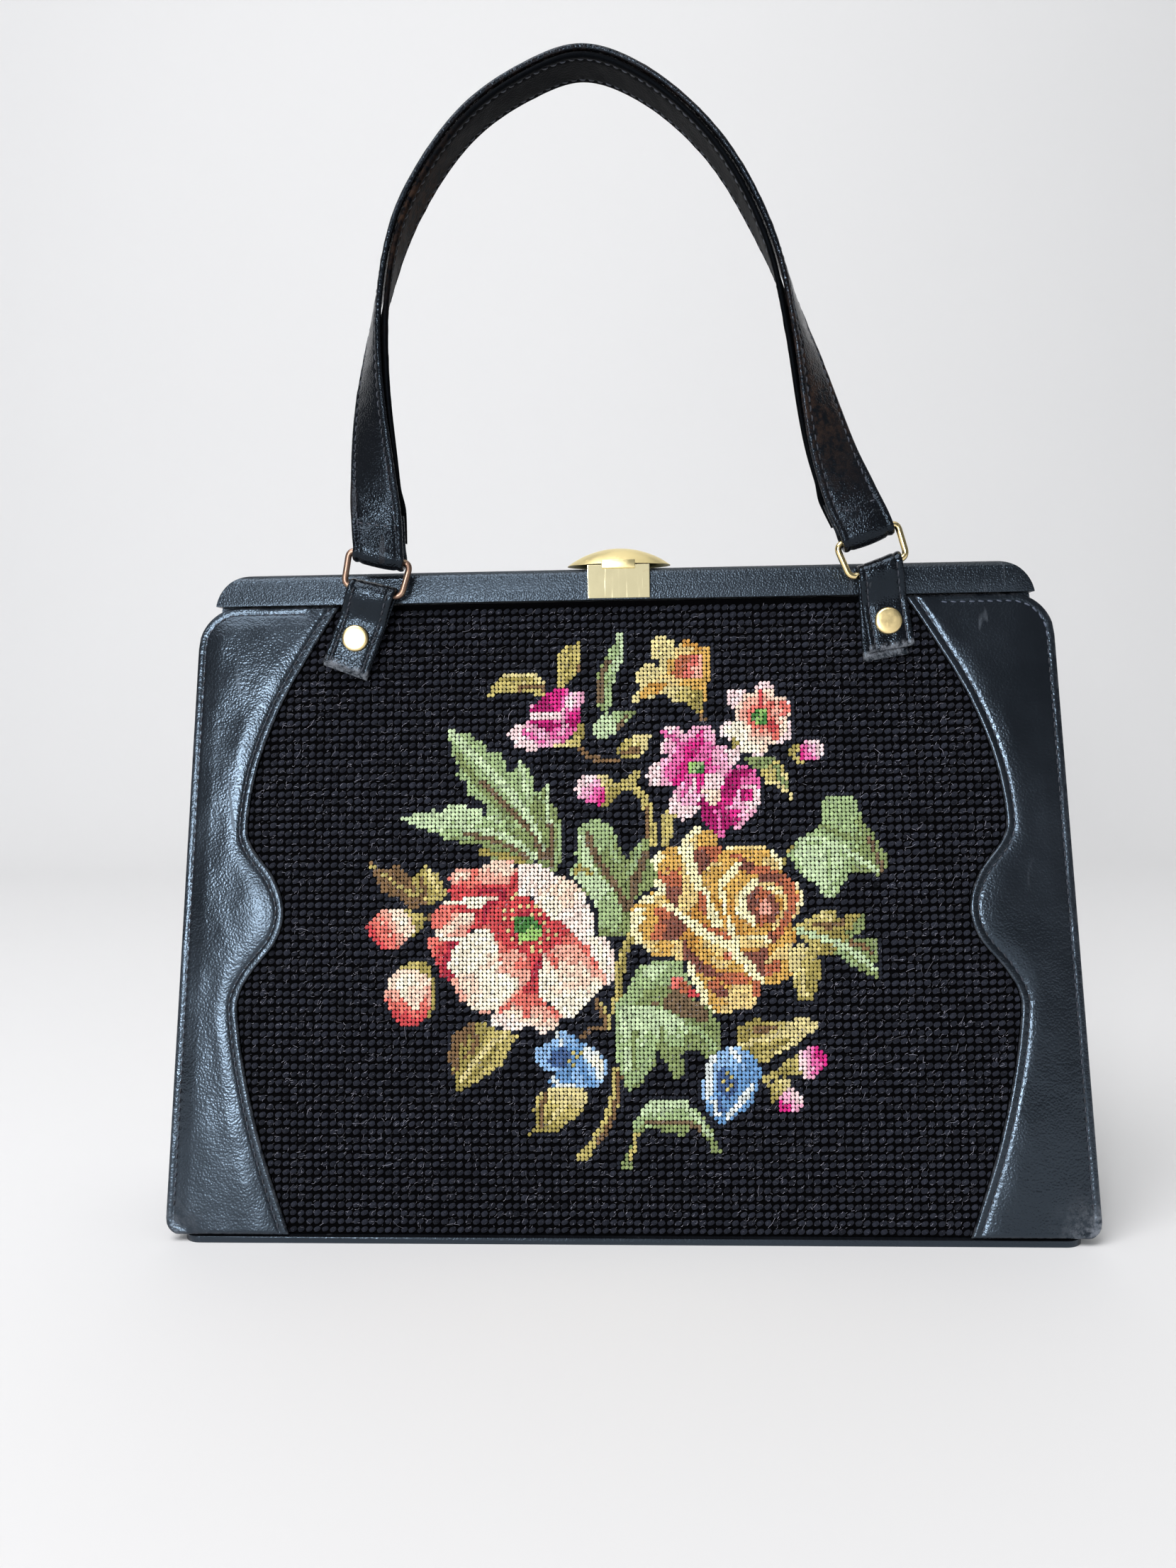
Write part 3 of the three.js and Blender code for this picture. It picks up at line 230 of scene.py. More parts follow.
# The bouquet, drawn in this order. Places are x and z by turns, in half stitches from the middle
# and the foot. A patch has its threads, where the first and the last of them lie (a point each, or
# a middle and a reach) and its outline. A line has its thread, its width in stitches, or 0 for
# single stitches, and its points.
BOUQUET = (
    ("khaki", 2.4, (5, 146, 0, 138, -2, 124, -3, 110)),
    ("olive", 1.2, (6, 146, 1, 137, -1, 124, -2, 110)),
    ("khaki", 2.6, (-4, 80, -4, 68, -9, 53, -15, 45, -21, 38)),
    ("umber", 1.2, (-2, 79, -3, 68, -7, 54, -13, 45)),
    ("umber", 1.6, (-13, 115, -11, 110, -7, 101, -17, 101, -20, 97)),
    ("khaki", 1, (-11, 114, -6, 104, -8, 100)),
    ("khaki", 2.2, (0, 221, 5, 221, 8, 226)),
    ("khaki", 2.4, (6, 220, 11, 215, 14, 208, 15, 198, 15, 192)),
    ("umber", 1, (12, 210, 13, 192)),
    ("khaki", 2.6, (27, 209, 23, 204, 23, 198, 22, 192)),
    ("umber", 1.4, (-20, 239, -15, 235, -8, 233, -1, 233)),
    ("umber", 1.4, (40, 257, 42, 253)),
    ("olive", 1.2, (85, 189, 78, 177)),
    ("khaki", 1.6, (70, 76, 76, 79)),
    ("umber", 1.4, (-102, 154, -96, 156)),
    ("khaki straw", (-53, 269, -51, 279), (-70, 265, -60, 278, -44, 278, -39, 275, -38, 266, -58, 269)),
    ("umber", 1.3, (-52, 270, -45, 271, -39, 270)),
    ("olive", 1, (-61, 274, -45, 275)),
    ("umber olive khaki", (-19, 283, -30, 285), (-20, 294, -28, 291, -31, 288, -31, 269, -20, 279)),
    ("khaki", 1.2, (-22, 291, -22, 283, -24, 277)),
    ("moss sage mint", (-11, 275, 1, 274), (1, 298, 3, 286, -2, 275, -4, 268, -5, 260, -6, 255, -12, 262,
     -12, 275, -6, 288, -3, 292, -2, 297)),
    ("bark", 1.6, (-6, 283, -9, 277, -10, 269, -10, 263)),
    ("moss sage mint", (8, 257, -8, 250), (10, 259, -3, 257, -9, 257, -14, 250, -12, 243, -1, 247)),
    ("bark", 1, (4, 256, -2, 249)),
    ("straw sand gold", (17, 289, 43, 279), (16, 294, 22, 296, 29, 290, 33, 292, 47, 290, 45, 272, 42, 256,
     24, 267, 7, 262, 7, 265, 11, 270, 7, 274, 13, 283, 20, 280, 21, 282, 17, 285)),
    ("gold rust coral salmon", (25, 285, 42, 278), (23, 284, 42, 287, 43, 275, 34, 273, 25, 276)),
    ("straw khaki olive", (24, 269, 42, 262), (36, 269, 42, 269, 43, 261, 40, 256, 32, 263, 27, 263, 20,
     270)),
    ("gold ochre", (9, 269, 23, 270), (14, 272, 25, 273, 19, 266, 9, 264)),
    ("straw", 2, (18, 293, 22, 293, 27, 291, 24, 285)),
    ("ochre", 1.2, (32, 292, 35, 292, 42, 288)),
    ("red coral salmon peach blush", (71, 254, 18), (55, 268, 63, 268, 66, 265, 70, 272, 77, 271, 78, 265,
     85, 263, 86, 256, 84, 253, 86, 250, 85, 242, 75, 239, 71, 234, 59, 237, 55, 243, 51, 245, 50, 250, 58,
     253, 58, 257, 55, 261)),
    ("peach cream", (67, 253, 56, 247), (53, 250, 64, 253, 67, 242, 73, 240, 74, 236, 60, 237, 58, 242, 52,
     246)),
    ("coral salmon coral", (73, 259, 85, 257), (74, 263, 84, 262, 86, 259, 84, 254, 75, 255)),
    ("red coral", (76, 252, 79, 242), (79, 251, 80, 242, 77, 242, 73, 252)),
    ("red", 1, (70, 267, 71, 258)),
    ("blush", 1.2, (56, 268, 61, 265, 59, 262)),
    ("fern lime fern", (67, 257, 75, 252), (65, 256, 73, 258, 74, 251, 68, 250)),
    ("olive khaki", (84, 240, 89, 231), (83, 238, 90, 240, 89, 235, 92, 231, 88, 230)),
    ("hot rose pink blush", (89, 233, 100, 240), (90, 240, 97, 243, 103, 238, 100, 233, 91, 233)),
    ("olive khaki straw", (-19, 251, -32, 240), (-17, 252, -20, 241, -34, 241, -24, 245, -21, 251)),
    ("rose pink blush", (-26, 254, -55, 242), (-29, 270, -18, 267, -26, 244, -34, 241, -45, 238, -53, 241,
     -57, 247, -51, 253, -47, 253, -45, 261)),
    ("plum hot", (-43, 259, -30, 268), (-37, 267, -29, 271, -27, 270, -31, 262, -30, 259, -45, 259)),
    ("pink blush pink", (-29, 266, -20, 263), (-26, 268, -18, 267, -19, 262, -26, 258, -28, 263)),
    ("blush", 1.2, (-45, 256, -31, 256, -29, 259)),
    ("hot plum rose", (-26, 259, -24, 245), (-25, 258, -19, 257, -24, 245, -35, 247, -45, 253, -40, 254,
     -28, 252)),
    ("pink", 1.2, (-29, 257, -28, 251, -30, 247)),
    ("rose", 1.2, (-49, 248, -40, 243)),
    ("blush", 1.2, (-55, 246, -44, 239)),
    ("olive khaki straw", (-1, 236, 12, 244), (16, 247, 6, 245, 0, 241, -2, 237, 0, 235, 10, 234, 13, 237)),
    ("umber", 1.3, (1, 237, 5, 238, 9, 238)),
    ("olive khaki straw", (-2, 215, -10, 225), (-13, 226, -8, 226, 0, 221, -1, 216, -9, 209)),
    ("hot rose pink blush", (-8, 212, -19, 224), (-20, 225, -12, 227, -7, 214, -10, 210, -21, 214, -24,
     219)),
    ("moss khaki straw", (68, 234, 81, 217), (63, 233, 78, 234, 84, 225, 85, 216, 86, 210, 84, 216, 80, 217,
     77, 220, 73, 221, 69, 228, 65, 230)),
    ("moss", 1.2, (78, 230, 79, 225, 83, 219)),
    ("hot rose pink blush", (38, 231, 25), (23, 250, 30, 249, 33, 246, 37, 250, 47, 249, 49, 241, 61, 236,
     39, 207, 25, 207, 25, 213, 28, 219, 15, 220, 12, 225, 15, 230, 24, 235, 20, 237)),
    ("rose hot rose", (31, 245, 42, 232), (30, 243, 36, 242, 41, 249, 42, 238, 45, 232, 33, 232)),
    ("pink rose hot", (16, 231, 35, 228), (27, 235, 35, 230, 29, 219, 21, 226)),
    ("blush pink", (59, 237, 46, 232), (46, 239, 60, 237, 59, 232, 53, 229, 47, 231)),
    ("blush pink blush", (30, 204, 38, 225), (37, 228, 39, 207, 31, 202, 26, 207, 26, 213)),
    ("rose", 1.4, (36, 225, 31, 215)),
    ("hot", 1.2, (40, 226, 40, 222, 39, 217)),
    ("blush peach", (46, 225, 50, 211), (42, 225, 50, 226, 53, 223, 49, 211, 44, 211, 41, 217)),
    ("rose", 1.2, (22, 247, 28, 243, 31, 238)),
    ("lime sage fern", (35, 232, 42, 226), (35, 232, 43, 232, 42, 227, 35, 226)),
    ("plum hot rose", (42, 204, 70, 221), (52, 225, 61, 231, 67, 228, 69, 225, 70, 211, 52, 197, 51, 193,
     41, 203, 39, 211, 40, 216, 44, 211, 49, 211)),
    ("pink blush", (60, 221, 70, 219), (60, 221, 69, 219, 70, 211, 57, 202, 60, 208, 55, 209)),
    ("plum hot", (60, 214, 66, 212), (61, 218, 66, 218, 65, 212, 60, 213)),
    ("plum plum hot", (53, 225, 58, 210), (54, 226, 63, 229, 67, 226, 61, 223, 56, 213, 51, 209, 50, 214)),
    ("rose", 1.4, (48, 208, 50, 195)),
    ("pink", 1.2, (58, 199, 66, 207)),
    ("pink", 1, (53, 209, 59, 211)),
    ("sage sage moss", (92, 194, 129, 186), (99, 210, 104, 214, 117, 213, 121, 201, 126, 194, 133, 182, 128,
     174, 126, 175, 112, 176, 105, 163, 89, 176, 83, 185, 89, 194, 100, 199)),
    ("mint mint sage", (88, 186, 117, 175), (85, 188, 94, 191, 104, 189, 116, 182, 110, 171, 101, 163, 96,
     171, 91, 175)),
    ("mint", 1.4, (88, 192, 98, 193, 109, 189, 127, 177)),
    ("moss", 1.4, (100, 199, 109, 195, 116, 193)),
    ("bark", 1.2, (123, 193, 126, 186, 129, 178)),
    ("sage", 1.2, (103, 186, 103, 175)),
    ("sage sage moss", (-80, 246, -31, 191), (-79, 249, -68, 241, -67, 238, -60, 237, -56, 226, -51, 234,
     -45, 227, -44, 221, -42, 217, -38, 222, -35, 212, -32, 208, -29, 197, -29, 190, -32, 178, -42, 181,
     -48, 195, -67, 206, -69, 212, -78, 217, -77, 222, -84, 227, -81, 230, -86, 237, -87, 245)),
    ("mint", 2.2, (-86, 248, -57, 219, -46, 204, -39, 187)),
    ("mint", 1.2, (-51, 233, -49, 225, -47, 215)),
    ("mint", 1.2, (-37, 220, -37, 212, -36, 202)),
    ("moss", 2, (-83, 237, -72, 222, -57, 207)),
    ("bark", 1.6, (-70, 223, -48, 201, -40, 186)),
    ("bark", 1.4, (-36, 202, -35, 195, -36, 186, -35, 181)),
    ("moss", 1.2, (-44, 214, -39, 202, -37, 193)),
    ("sage", 1.2, (-32, 202, -31, 191, -33, 183)),
    ("mint sage moss", (-80, 210, -76, 188), (-111, 205, -101, 209, -97, 208, -94, 210, -91, 207, -87, 213,
     -78, 211, -72, 211, -69, 207, -64, 206, -57, 203, -50, 201, -44, 195, -42, 187, -44, 182, -66, 185,
     -71, 192, -82, 193, -90, 195, -94, 198, -106, 202)),
    ("mint", 1.6, (-105, 203, -82, 201, -63, 197, -53, 193, -43, 185)),
    ("bark", 1.2, (-78, 197, -65, 194, -55, 190, -48, 185)),
    ("mint", 1, (-83, 211, -81, 206)),
    ("mint", 1, (-68, 206, -61, 202)),
    ("olive", 1.6, (-70, 188, -59, 186, -50, 183)),
    ("khaki olive umber", (-90, 177, -110, 169), (-128, 184, -120, 179, -113, 183, -105, 175, -100, 182,
     -92, 177, -87, 166, -97, 161, -100, 162, -107, 159, -112, 165, -122, 169)),
    ("khaki", 1.2, (-126, 181, -119, 177, -107, 168, -95, 165)),
    ("umber", 1.4, (-101, 174, -99, 168, -103, 164)),
    ("straw", 1, (-98, 180, -96, 175, -92, 170)),
    ("umber", 1.2, (-122, 179, -116, 178, -113, 174)),
    ("khaki olive", (-107, 158, -99, 149), (-110, 160, -97, 156, -105, 145)),
    ("red coral salmon peach", (-126, 143, -109, 156), (-121, 160, -109, 159, -104, 150, -111, 141, -122,
     140, -130, 151)),
    ("peach cream", (-114, 149, -108, 155), (-115, 155, -109, 156, -108, 148, -113, 147)),
    ("khaki olive", (-108, 134, -95, 129), (-111, 131, -107, 134, -98, 134, -94, 124, -95, 110, -97, 106)),
    ("peach salmon coral red", (-108, 127, -109, 102), (-117, 126, -112, 130, -102, 129, -97, 126, -96, 111,
     -102, 102, -112, 103, -116, 108, -120, 117)),
    ("cream peach", (-110, 127, -105, 112), (-114, 124, -108, 128, -102, 124, -99, 116, -104, 109, -112,
     118)),
    ("salmon coral red", (-79, 180, -79, 166), (-87, 175, -83, 179, -70, 180, -56, 185, -50, 174, -84, 163,
     -87, 169, -86, 172)),
    ("peach salmon", (-62, 184, -64, 171), (-69, 182, -62, 184, -54, 182, -56, 171, -68, 172, -71, 175)),
    ("peach salmon", (-81, 178, -84, 173), (-86, 174, -84, 177, -74, 178, -84, 171)),
    ("red", 3.6, (-73, 167, -68, 169, -53, 169)),
    ("red", 2.2, (-53, 176, -53, 168)),
    ("wine", 1.4, (-72, 168, -67, 169, -59, 168)),
    ("coral", 1.6, (-74, 179, -75, 175, -75, 171)),
    ("coral red wine", (-90, 150, -61, 161), (-89, 163, -95, 157, -96, 153, -92, 145, -75, 149, -64, 150,
     -62, 166)),
    ("salmon peach salmon", (-87, 159, -79, 146), (-88, 153, -85, 157, -75, 158, -73, 155, -79, 146, -92,
     147, -93, 149)),
    ("cream", 2, (-88, 163, -79, 163, -78, 164)),
    ("cream peach", (-77, 166, -62, 163), (-78, 166, -62, 165, -68, 163, -70, 161, -77, 161)),
    ("cream", 1.6, (-93, 147, -91, 145, -81, 145)),
    ("coral red wine", (-96, 143, -84, 139), (-98, 146, -92, 145, -81, 144, -85, 124, -91, 127, -98, 142)),
    ("wine red coral", (-49, 153, -18, 134), (-62, 166, -36, 158, -16, 141, -9, 124, -40, 113)),
    ("wine red red coral", (-48, 151, 27), (-65, 162, -49, 168, -37, 155, -31, 153, -18, 141, -50, 131, -70,
     150)),
    ("coral salmon coral", (-59, 144, -49, 128), (-61, 144, -56, 140, -49, 138, -45, 136, -50, 123, -61,
     132)),
    ("wine red coral", (-43, 131, -48, 113), (-39, 138, -41, 109, -56, 114, -47, 128)),
    ("cream peach salmon", (-75, 139, -56, 125), (-68, 151, -63, 145, -62, 135, -50, 129, -46, 131, -47,
     124, -61, 110, -71, 108, -87, 130, -87, 133, -86, 138, -76, 148)),
    ("peach cream", (-81, 125, -62, 116), (-81, 128, -54, 127, -51, 122, -62, 110, -75, 111, -81, 115)),
    ("salmon", 1.6, (-84, 125, -83, 120, -79, 115)),
    ("cream", 1.4, (-62, 133, -66, 128, -73, 128)),
    ("salmon", 1.4, (-60, 131, -54, 128, -51, 125)),
    ("shell peach shell", (-49, 178, -15, 152), (-51, 181, -42, 182, -33, 177, -24, 173, -19, 168, -13, 152,
     -13, 147, -6, 144, -3, 130, -6, 121, -15, 137, -16, 141, -21, 144, -31, 154, -40, 158, -46, 167, -51,
     167)),
    ("cream shell", (-37, 161, -22, 152), (-43, 167, -34, 166, -29, 158, -21, 155, -18, 150, -21, 145, -28,
     152, -35, 155)),
    ("cream", 2.2, (-16, 146, -11, 140, -9, 129)),
    ("salmon", 2, (-12, 129, -9, 124)),
    ("salmon peach cream", (-27, 142, -32, 119), (-39, 138, -33, 141, -22, 142, -10, 122, -24, 106, -29,
     107, -41, 119)),
    ("peach cream", (-24, 125, -24, 113), (-37, 121, -24, 125, -16, 120, -16, 114, -24, 107, -35, 110)),
    ("cream", 2, (-39, 130, -41, 119, -37, 115)),
    ("coral", 1.8, (-37, 138, -34, 135, -33, 131)),
    ("salmon", 1.6, (-21, 137, -17, 133, -14, 128)),
    ("salmon peach shell", (-48, 113, -52, 101), (-65, 108, -56, 114, -51, 112, -36, 112, -30, 107, -35,
     100, -40, 98, -46, 102, -55, 99, -66, 103)),
    ("coral", 1.8, (-48, 114, -48, 107)),
    ("coral", 1.4, (-61, 110, -56, 112)),
    ("coral", 1.4, (-39, 113, -36, 110, -33, 108)),
    ("fern lime", (-48, 156, -46, 144), (-53, 157, -39, 148, -44, 144, -51, 145, -53, 149)),
    ("fern", 1.4, (-53, 154, -49, 155, -45, 154, -42, 151)),
    ("straw", 0, (-53, 167, -56, 164, -51, 161, -47, 161, -45, 157, -41, 157, -39, 153, -37, 149, -34, 147,
     -37, 145, -41, 143, -46, 141, -41, 139, -55, 145, -58, 149, -59, 159, -56, 155, -59, 154, -51, 143,
     -55, 159, -45, 139, -52, 160, -43, 160)),
    ("gold ochre", (14, 182, 74, 127), (47, 196, 50, 188, 77, 187, 86, 145, 79, 124, 40, 113, 31, 135, 4,
     159, 19, 170, 22, 189)),
    ("sand gold", (33, 195, 44, 193), (35, 196, 45, 198, 48, 191, 33, 188)),
    ("rust cocoa", (47, 189, 39, 179), (38, 190, 50, 189, 48, 183, 40, 175, 35, 185)),
    ("ivory", 1.6, (33, 194, 38, 198)),
    ("ivory", 1.6, (32, 193, 35, 188)),
    ("gold rust cocoa", (23, 185, 27, 162), (19, 187, 29, 189, 30, 158, 19, 169)),
    ("ivory", 2.2, (19, 185, 14, 178, 20, 169, 19, 167)),
    ("cocoa", 2, (28, 168, 29, 158)),
    ("sand sand ochre", (30, 170, 39, 157), (36, 175, 47, 148, 38, 150, 29, 159, 29, 166)),
    ("sand", 2, (31, 187, 32, 166)),
    ("ivory", 2.6, (31, 189, 37, 174, 38, 170, 40, 168, 46, 154, 47, 151)),
    ("rust", 1.8, (39, 166, 41, 158)),
    ("rust", 2.2, (40, 150, 44, 148, 53, 144)),
    ("sand gold", (46, 182, 48, 177), (44, 182, 60, 181, 53, 174, 39, 174)),
    ("gold", 1.8, (47, 179, 50, 179)),
    ("ivory", 1.8, (59, 181, 51, 173)),
    ("ivory", 1.5, (50, 172, 50, 166, 52, 157)),
    ("ivory sand gold", (63, 191, 63, 186), (53, 191, 72, 189, 75, 184, 63, 185, 53, 187)),
    ("rust cocoa rust", (54, 185, 72, 177), (60, 186, 64, 182, 74, 179, 79, 177, 63, 177, 59, 179, 60, 182,
     54, 185)),
    ("gold sand", (66, 183, 78, 182), (63, 184, 79, 184, 79, 178, 68, 180)),
    ("ivory", 1.4, (75, 186, 78, 184, 79, 180)),
    ("gold ochre", (54, 175, 56, 154), (57, 175, 68, 176, 62, 152, 52, 153, 51, 169)),
    ("sand ivory", (55, 163, 60, 160), (57, 167, 60, 154, 56, 158)),
    ("cocoa rust rust cocoa", (62, 161, 79, 158), (78, 173, 70, 148, 63, 169)),
    ("cocoa", 2.6, (64, 168, 64, 159, 66, 155)),
    ("rust salmon", (68, 164, 71, 161), (68, 166, 74, 165, 73, 156, 69, 156)),
    ("ivory", 2, (66, 172, 60, 166, 61, 157, 65, 152)),
    ("sand", 2.2, (70, 171, 79, 167)),
    ("ivory", 1.2, (74, 169, 78, 167)),
    ("cocoa", 2, (69, 173, 74, 175, 81, 172)),
    ("ochre", 2, (75, 165, 78, 161, 72, 150)),
    ("cocoa", 1.8, (74, 164, 76, 159, 74, 154)),
    ("sand", 1.6, (82, 164, 80, 155, 76, 150)),
    ("rust gold sand", (82, 168, 89, 161), (81, 173, 87, 171, 89, 159, 84, 152)),
    ("rust", 2.4, (81, 173, 83, 168, 86, 164, 81, 153)),
    ("ivory", 1.2, (87, 170, 89, 166, 88, 160)),
    ("ochre gold", (56, 152, 68, 148), (57, 153, 72, 149, 72, 147, 56, 147)),
    ("ivory sand", (56, 146, 62, 141), (55, 147, 71, 146, 72, 140, 59, 139, 52, 148)),
    ("ivory", 1.5, (53, 154, 55, 146, 55, 142)),
    ("ivory", 1.3, (64, 145, 73, 144)),
    ("rust cocoa", (80, 147, 72, 143), (71, 146, 80, 152, 79, 146, 74, 142)),
    ("gold sand", (80, 145, 83, 139), (82, 148, 85, 147, 83, 137, 73, 135, 74, 141)),
    ("cocoa rust gold", (67, 134, 82, 127), (59, 137, 72, 140, 73, 135, 84, 133, 73, 123)),
    ("sand", 1.4, (71, 133, 76, 135, 81, 136)),
    ("gold", 2, (83, 132, 81, 127, 75, 124, 69, 124)),
    ("ochre gold sand gold", (30, 146, 62, 131), (28, 154, 51, 142, 64, 127, 54, 128, 33, 137)),
    ("sand gold", (47, 140, 44, 135), (41, 144, 52, 140, 49, 134, 41, 138)),
    ("salmon rust", (52, 140, 52, 134), (50, 139, 56, 136, 51, 134)),
    ("cocoa cocoa rust", (33, 140, 59, 125), (30, 146, 36, 136, 47, 129, 60, 127, 67, 124, 55, 121, 38, 128,
     31, 135)),
    ("ivory", 2.4, (30, 154, 35, 152, 39, 148, 55, 140, 57, 136, 62, 132, 64, 128, 67, 124)),
    ("ivory gold rust cocoa", (4, 153, 27, 149), (7, 160, 27, 160, 32, 149, 29, 145, 7, 145)),
    ("ivory", 2.2, (5, 155, 8, 144)),
    ("ivory sand", (13, 167, 21, 162), (9, 163, 10, 167, 19, 167, 24, 160)),
    ("ivory", 1.4, (22, 161, 26, 159, 29, 156)),
    ("sand gold sand", (11, 143, 30, 136), (10, 144, 30, 143, 29, 134, 21, 137, 14, 137)),
    ("ivory", 1.4, (10, 142, 14, 138)),
    ("gold gold sand", (37, 125, 58, 112), (36, 129, 45, 125, 52, 122, 68, 121, 64, 110, 55, 109, 43, 109)),
    ("rust cocoa", (45, 124, 49, 119), (43, 125, 49, 123, 53, 117, 47, 117, 43, 121)),
    ("rust", 2, (65, 123, 66, 117)),
    ("sand", 2, (56, 118, 58, 112)),
    ("ivory", 2, (33, 132, 34, 128, 40, 117, 40, 113, 44, 109)),
    ("sage moss", (-20, 195, -1, 176), (-14, 205, -5, 200, 2, 183, 8, 192, 13, 194, 15, 183, 18, 176, 16,
     170, 10, 167, 5, 161, 2, 145, -14, 163, -27, 178, -22, 182, -23, 187, -22, 199)),
    ("mint mint sage", (-22, 191, -3, 152), (-21, 195, -17, 196, -16, 187, -12, 178, -1, 164, 1, 154, -3,
     148, -11, 148, -12, 158, -18, 169, -26, 177, -20, 180)),
    ("bark", 1.6, (-17, 196, -14, 187, -2, 169, 2, 159)),
    ("bark", 1.8, (12, 187, 3, 159)),
    ("bark", 1.2, (4, 178, 5, 168)),
    ("sage", 1.4, (9, 190, 4, 176)),
    ("sage", 1.4, (-10, 200, -2, 183)),
    ("moss", 1.6, (-11, 148, -3, 147, 2, 150)),
    ("olive", 1.4, (-24, 178, -20, 180, -16, 177)),
    ("sage moss", (10, 124, 44, 99), (8, 131, 15, 133, 29, 134, 36, 115, 43, 110, 47, 104, 49, 93, 42, 85,
     35, 91, 28, 88, 31, 82, 26, 74, 20, 85, 17, 91, 16, 84, 7, 72, 2, 70, -4, 86, -4, 112, 2, 119)),
    ("mint sage", (2, 110, 9, 79), (-1, 112, 17, 111, 32, 101, 30, 93, 20, 93, 17, 95, 15, 85, 10, 77, 2,
     71, -2, 86)),
    ("sage mint", (6, 124, 15, 132), (9, 130, 17, 133, 23, 131, 10, 121, 2, 114, -2, 113)),
    ("moss bark", (13, 121, 26, 110), (11, 119, 21, 123, 32, 117, 41, 110, 43, 104, 30, 106, 19, 112, 7,
     113)),
    ("red rust coral", (37, 119, 26, 125), (24, 127, 30, 125, 38, 116, 32, 117, 25, 121)),
    ("mint", 1.6, (-1, 110, 20, 108, 28, 104)),
    ("moss", 1.2, (6, 99, 5, 88, 6, 81)),
    ("moss", 1.2, (19, 101, 20, 92, 25, 82)),
    ("mint", 1.2, (2, 92, 2, 81)),
    ("sage", 1.6, (33, 102, 41, 97, 44, 92)),
    ("umber olive khaki", (-86, 99, -61, 90), (-74, 105, -63, 101, -52, 98, -58, 88, -60, 83, -76, 73, -83,
     70, -85, 79, -88, 86, -85, 98)),
    ("straw", 1.3, (-59, 98, -71, 89, -82, 74)),
    ("umber", 1.4, (-76, 102, -73, 95, -76, 88)),
    ("olive", 1.4, (-63, 92, -69, 84, -75, 77)),
    ("sky blue sky", (-43, 88, -13, 77), (-44, 86, -43, 91, -37, 94, -31, 101, -16, 92, -7, 84, -12, 71,
     -22, 72, -33, 71, -37, 75, -34, 80, -40, 81)),
    ("navy blue", (-31, 86, -39, 92), (-35, 92, -30, 93, -25, 89, -30, 81, -38, 84)),
    ("ice cream ice", (-20, 92, -11, 75), (-21, 93, -13, 90, -9, 84, -12, 73, -16, 84, -20, 88)),
    ("ice", 1.6, (-35, 77, -32, 73, -26, 72)),
    ("ice", 1.2, (-33, 98, -31, 94)),
    ("blue", 1.6, (-22, 84, -19, 77, -15, 73)),
    ("sky", 1.4, (-29, 97, -24, 93)),
    ("khaki", 0, (-26, 88, -24, 86, -27, 85, -22, 88, -25, 83)),
    ("sky blue", (42, 88, 64, 68), (47, 90, 57, 93, 66, 85, 68, 80, 64, 66, 60, 61, 48, 54, 40, 60, 39, 66,
     38, 74)),
    ("navy blue", (50, 75, 55, 81), (47, 80, 52, 83, 57, 78, 55, 70, 50, 66, 46, 71)),
    ("ice", 2, (44, 87, 42, 81, 41, 68)),
    ("ice", 1.8, (63, 72, 55, 62, 51, 58)),
    ("ice", 1.4, (53, 91, 57, 86)),
    ("ice", 1.3, (44, 65, 46, 59)),
    ("blue", 1.4, (60, 86, 62, 79)),
    ("navy", 1.2, (46, 68, 48, 61)),
    ("khaki", 0, (50, 78, 52, 76, 49, 75, 53, 73, 51, 71)),
    ("straw khaki olive", (-32, 72, -39, 51), (-48, 48, -44, 53, -45, 61, -43, 68, -37, 72, -22, 72, -18,
     69, -20, 60, -28, 55, -31, 51, -43, 50)),
    ("umber", 1.2, (-39, 68, -41, 61, -41, 54)),
    ("straw", 1.2, (-23, 69, -30, 63, -37, 55)),
    ("olive khaki straw", (63, 102, 86, 95), (55, 94, 57, 101, 68, 107, 70, 103, 81, 104, 88, 107, 98, 102,
     81, 90, 75, 88, 69, 83)),
    ("straw", 1.3, (58, 93, 68, 95, 79, 99, 92, 102)),
    ("umber", 1.4, (65, 100, 70, 100, 74, 101)),
    ("olive", 1.4, (67, 90, 75, 92, 81, 95)),
    ("khaki olive", (84, 86, 77, 77), (75, 79, 80, 85, 85, 88, 89, 77, 82, 78, 79, 76)),
    ("blush pink rose hot", (86, 84, 99, 86), (85, 88, 93, 93, 100, 87, 99, 82, 94, 77, 88, 77)),
    ("straw khaki olive", (81, 75, 71, 68), (71, 74, 81, 77, 82, 71, 72, 64, 71, 72)),
    ("blush pink hot", (86, 69, 78, 60), (75, 66, 82, 72, 89, 66, 86, 60, 77, 61)),
    ("mint sage moss", (22, 66, 25, 49), (-3, 32, 5, 48, 5, 55, 12, 65, 30, 67, 33, 63, 38, 59, 44, 51, 45,
     47, 48, 41, 43, 41, 40, 48, 34, 52, 29, 48, 12, 53, 7, 48, 3, 32)),
    ("bark", 1.2, (12, 55, 31, 55, 37, 52)),
    ("mint", 1.4, (10, 61, 20, 63, 31, 63, 42, 49)),
    ("khaki", 1.2, (3, 37, 6, 50)),
    ("khaki olive moss", (91, 153, 118, 138), (99, 157, 105, 158, 107, 153, 112, 157, 119, 156, 121, 152,
     118, 147, 115, 145, 126, 144, 125, 131, 126, 124, 117, 128, 109, 135, 97, 137, 84, 150)),
    ("mint", 1.6, (87, 148, 107, 142, 116, 136, 124, 129)),
    ("sage", 1.4, (107, 138, 116, 130)),
    ("umber", 1.4, (96, 151, 102, 150, 110, 152)),
    ("straw", 1.2, (99, 156, 103, 154)),
    ("umber", 1.2, (113, 142, 119, 140, 123, 137)),
    ("straw khaki olive", (84, 133, 96, 128), (89, 142, 94, 139, 99, 130, 94, 115, 86, 115, 81, 138)),
    ("straw", 1.3, (85, 139, 88, 129, 90, 117)),
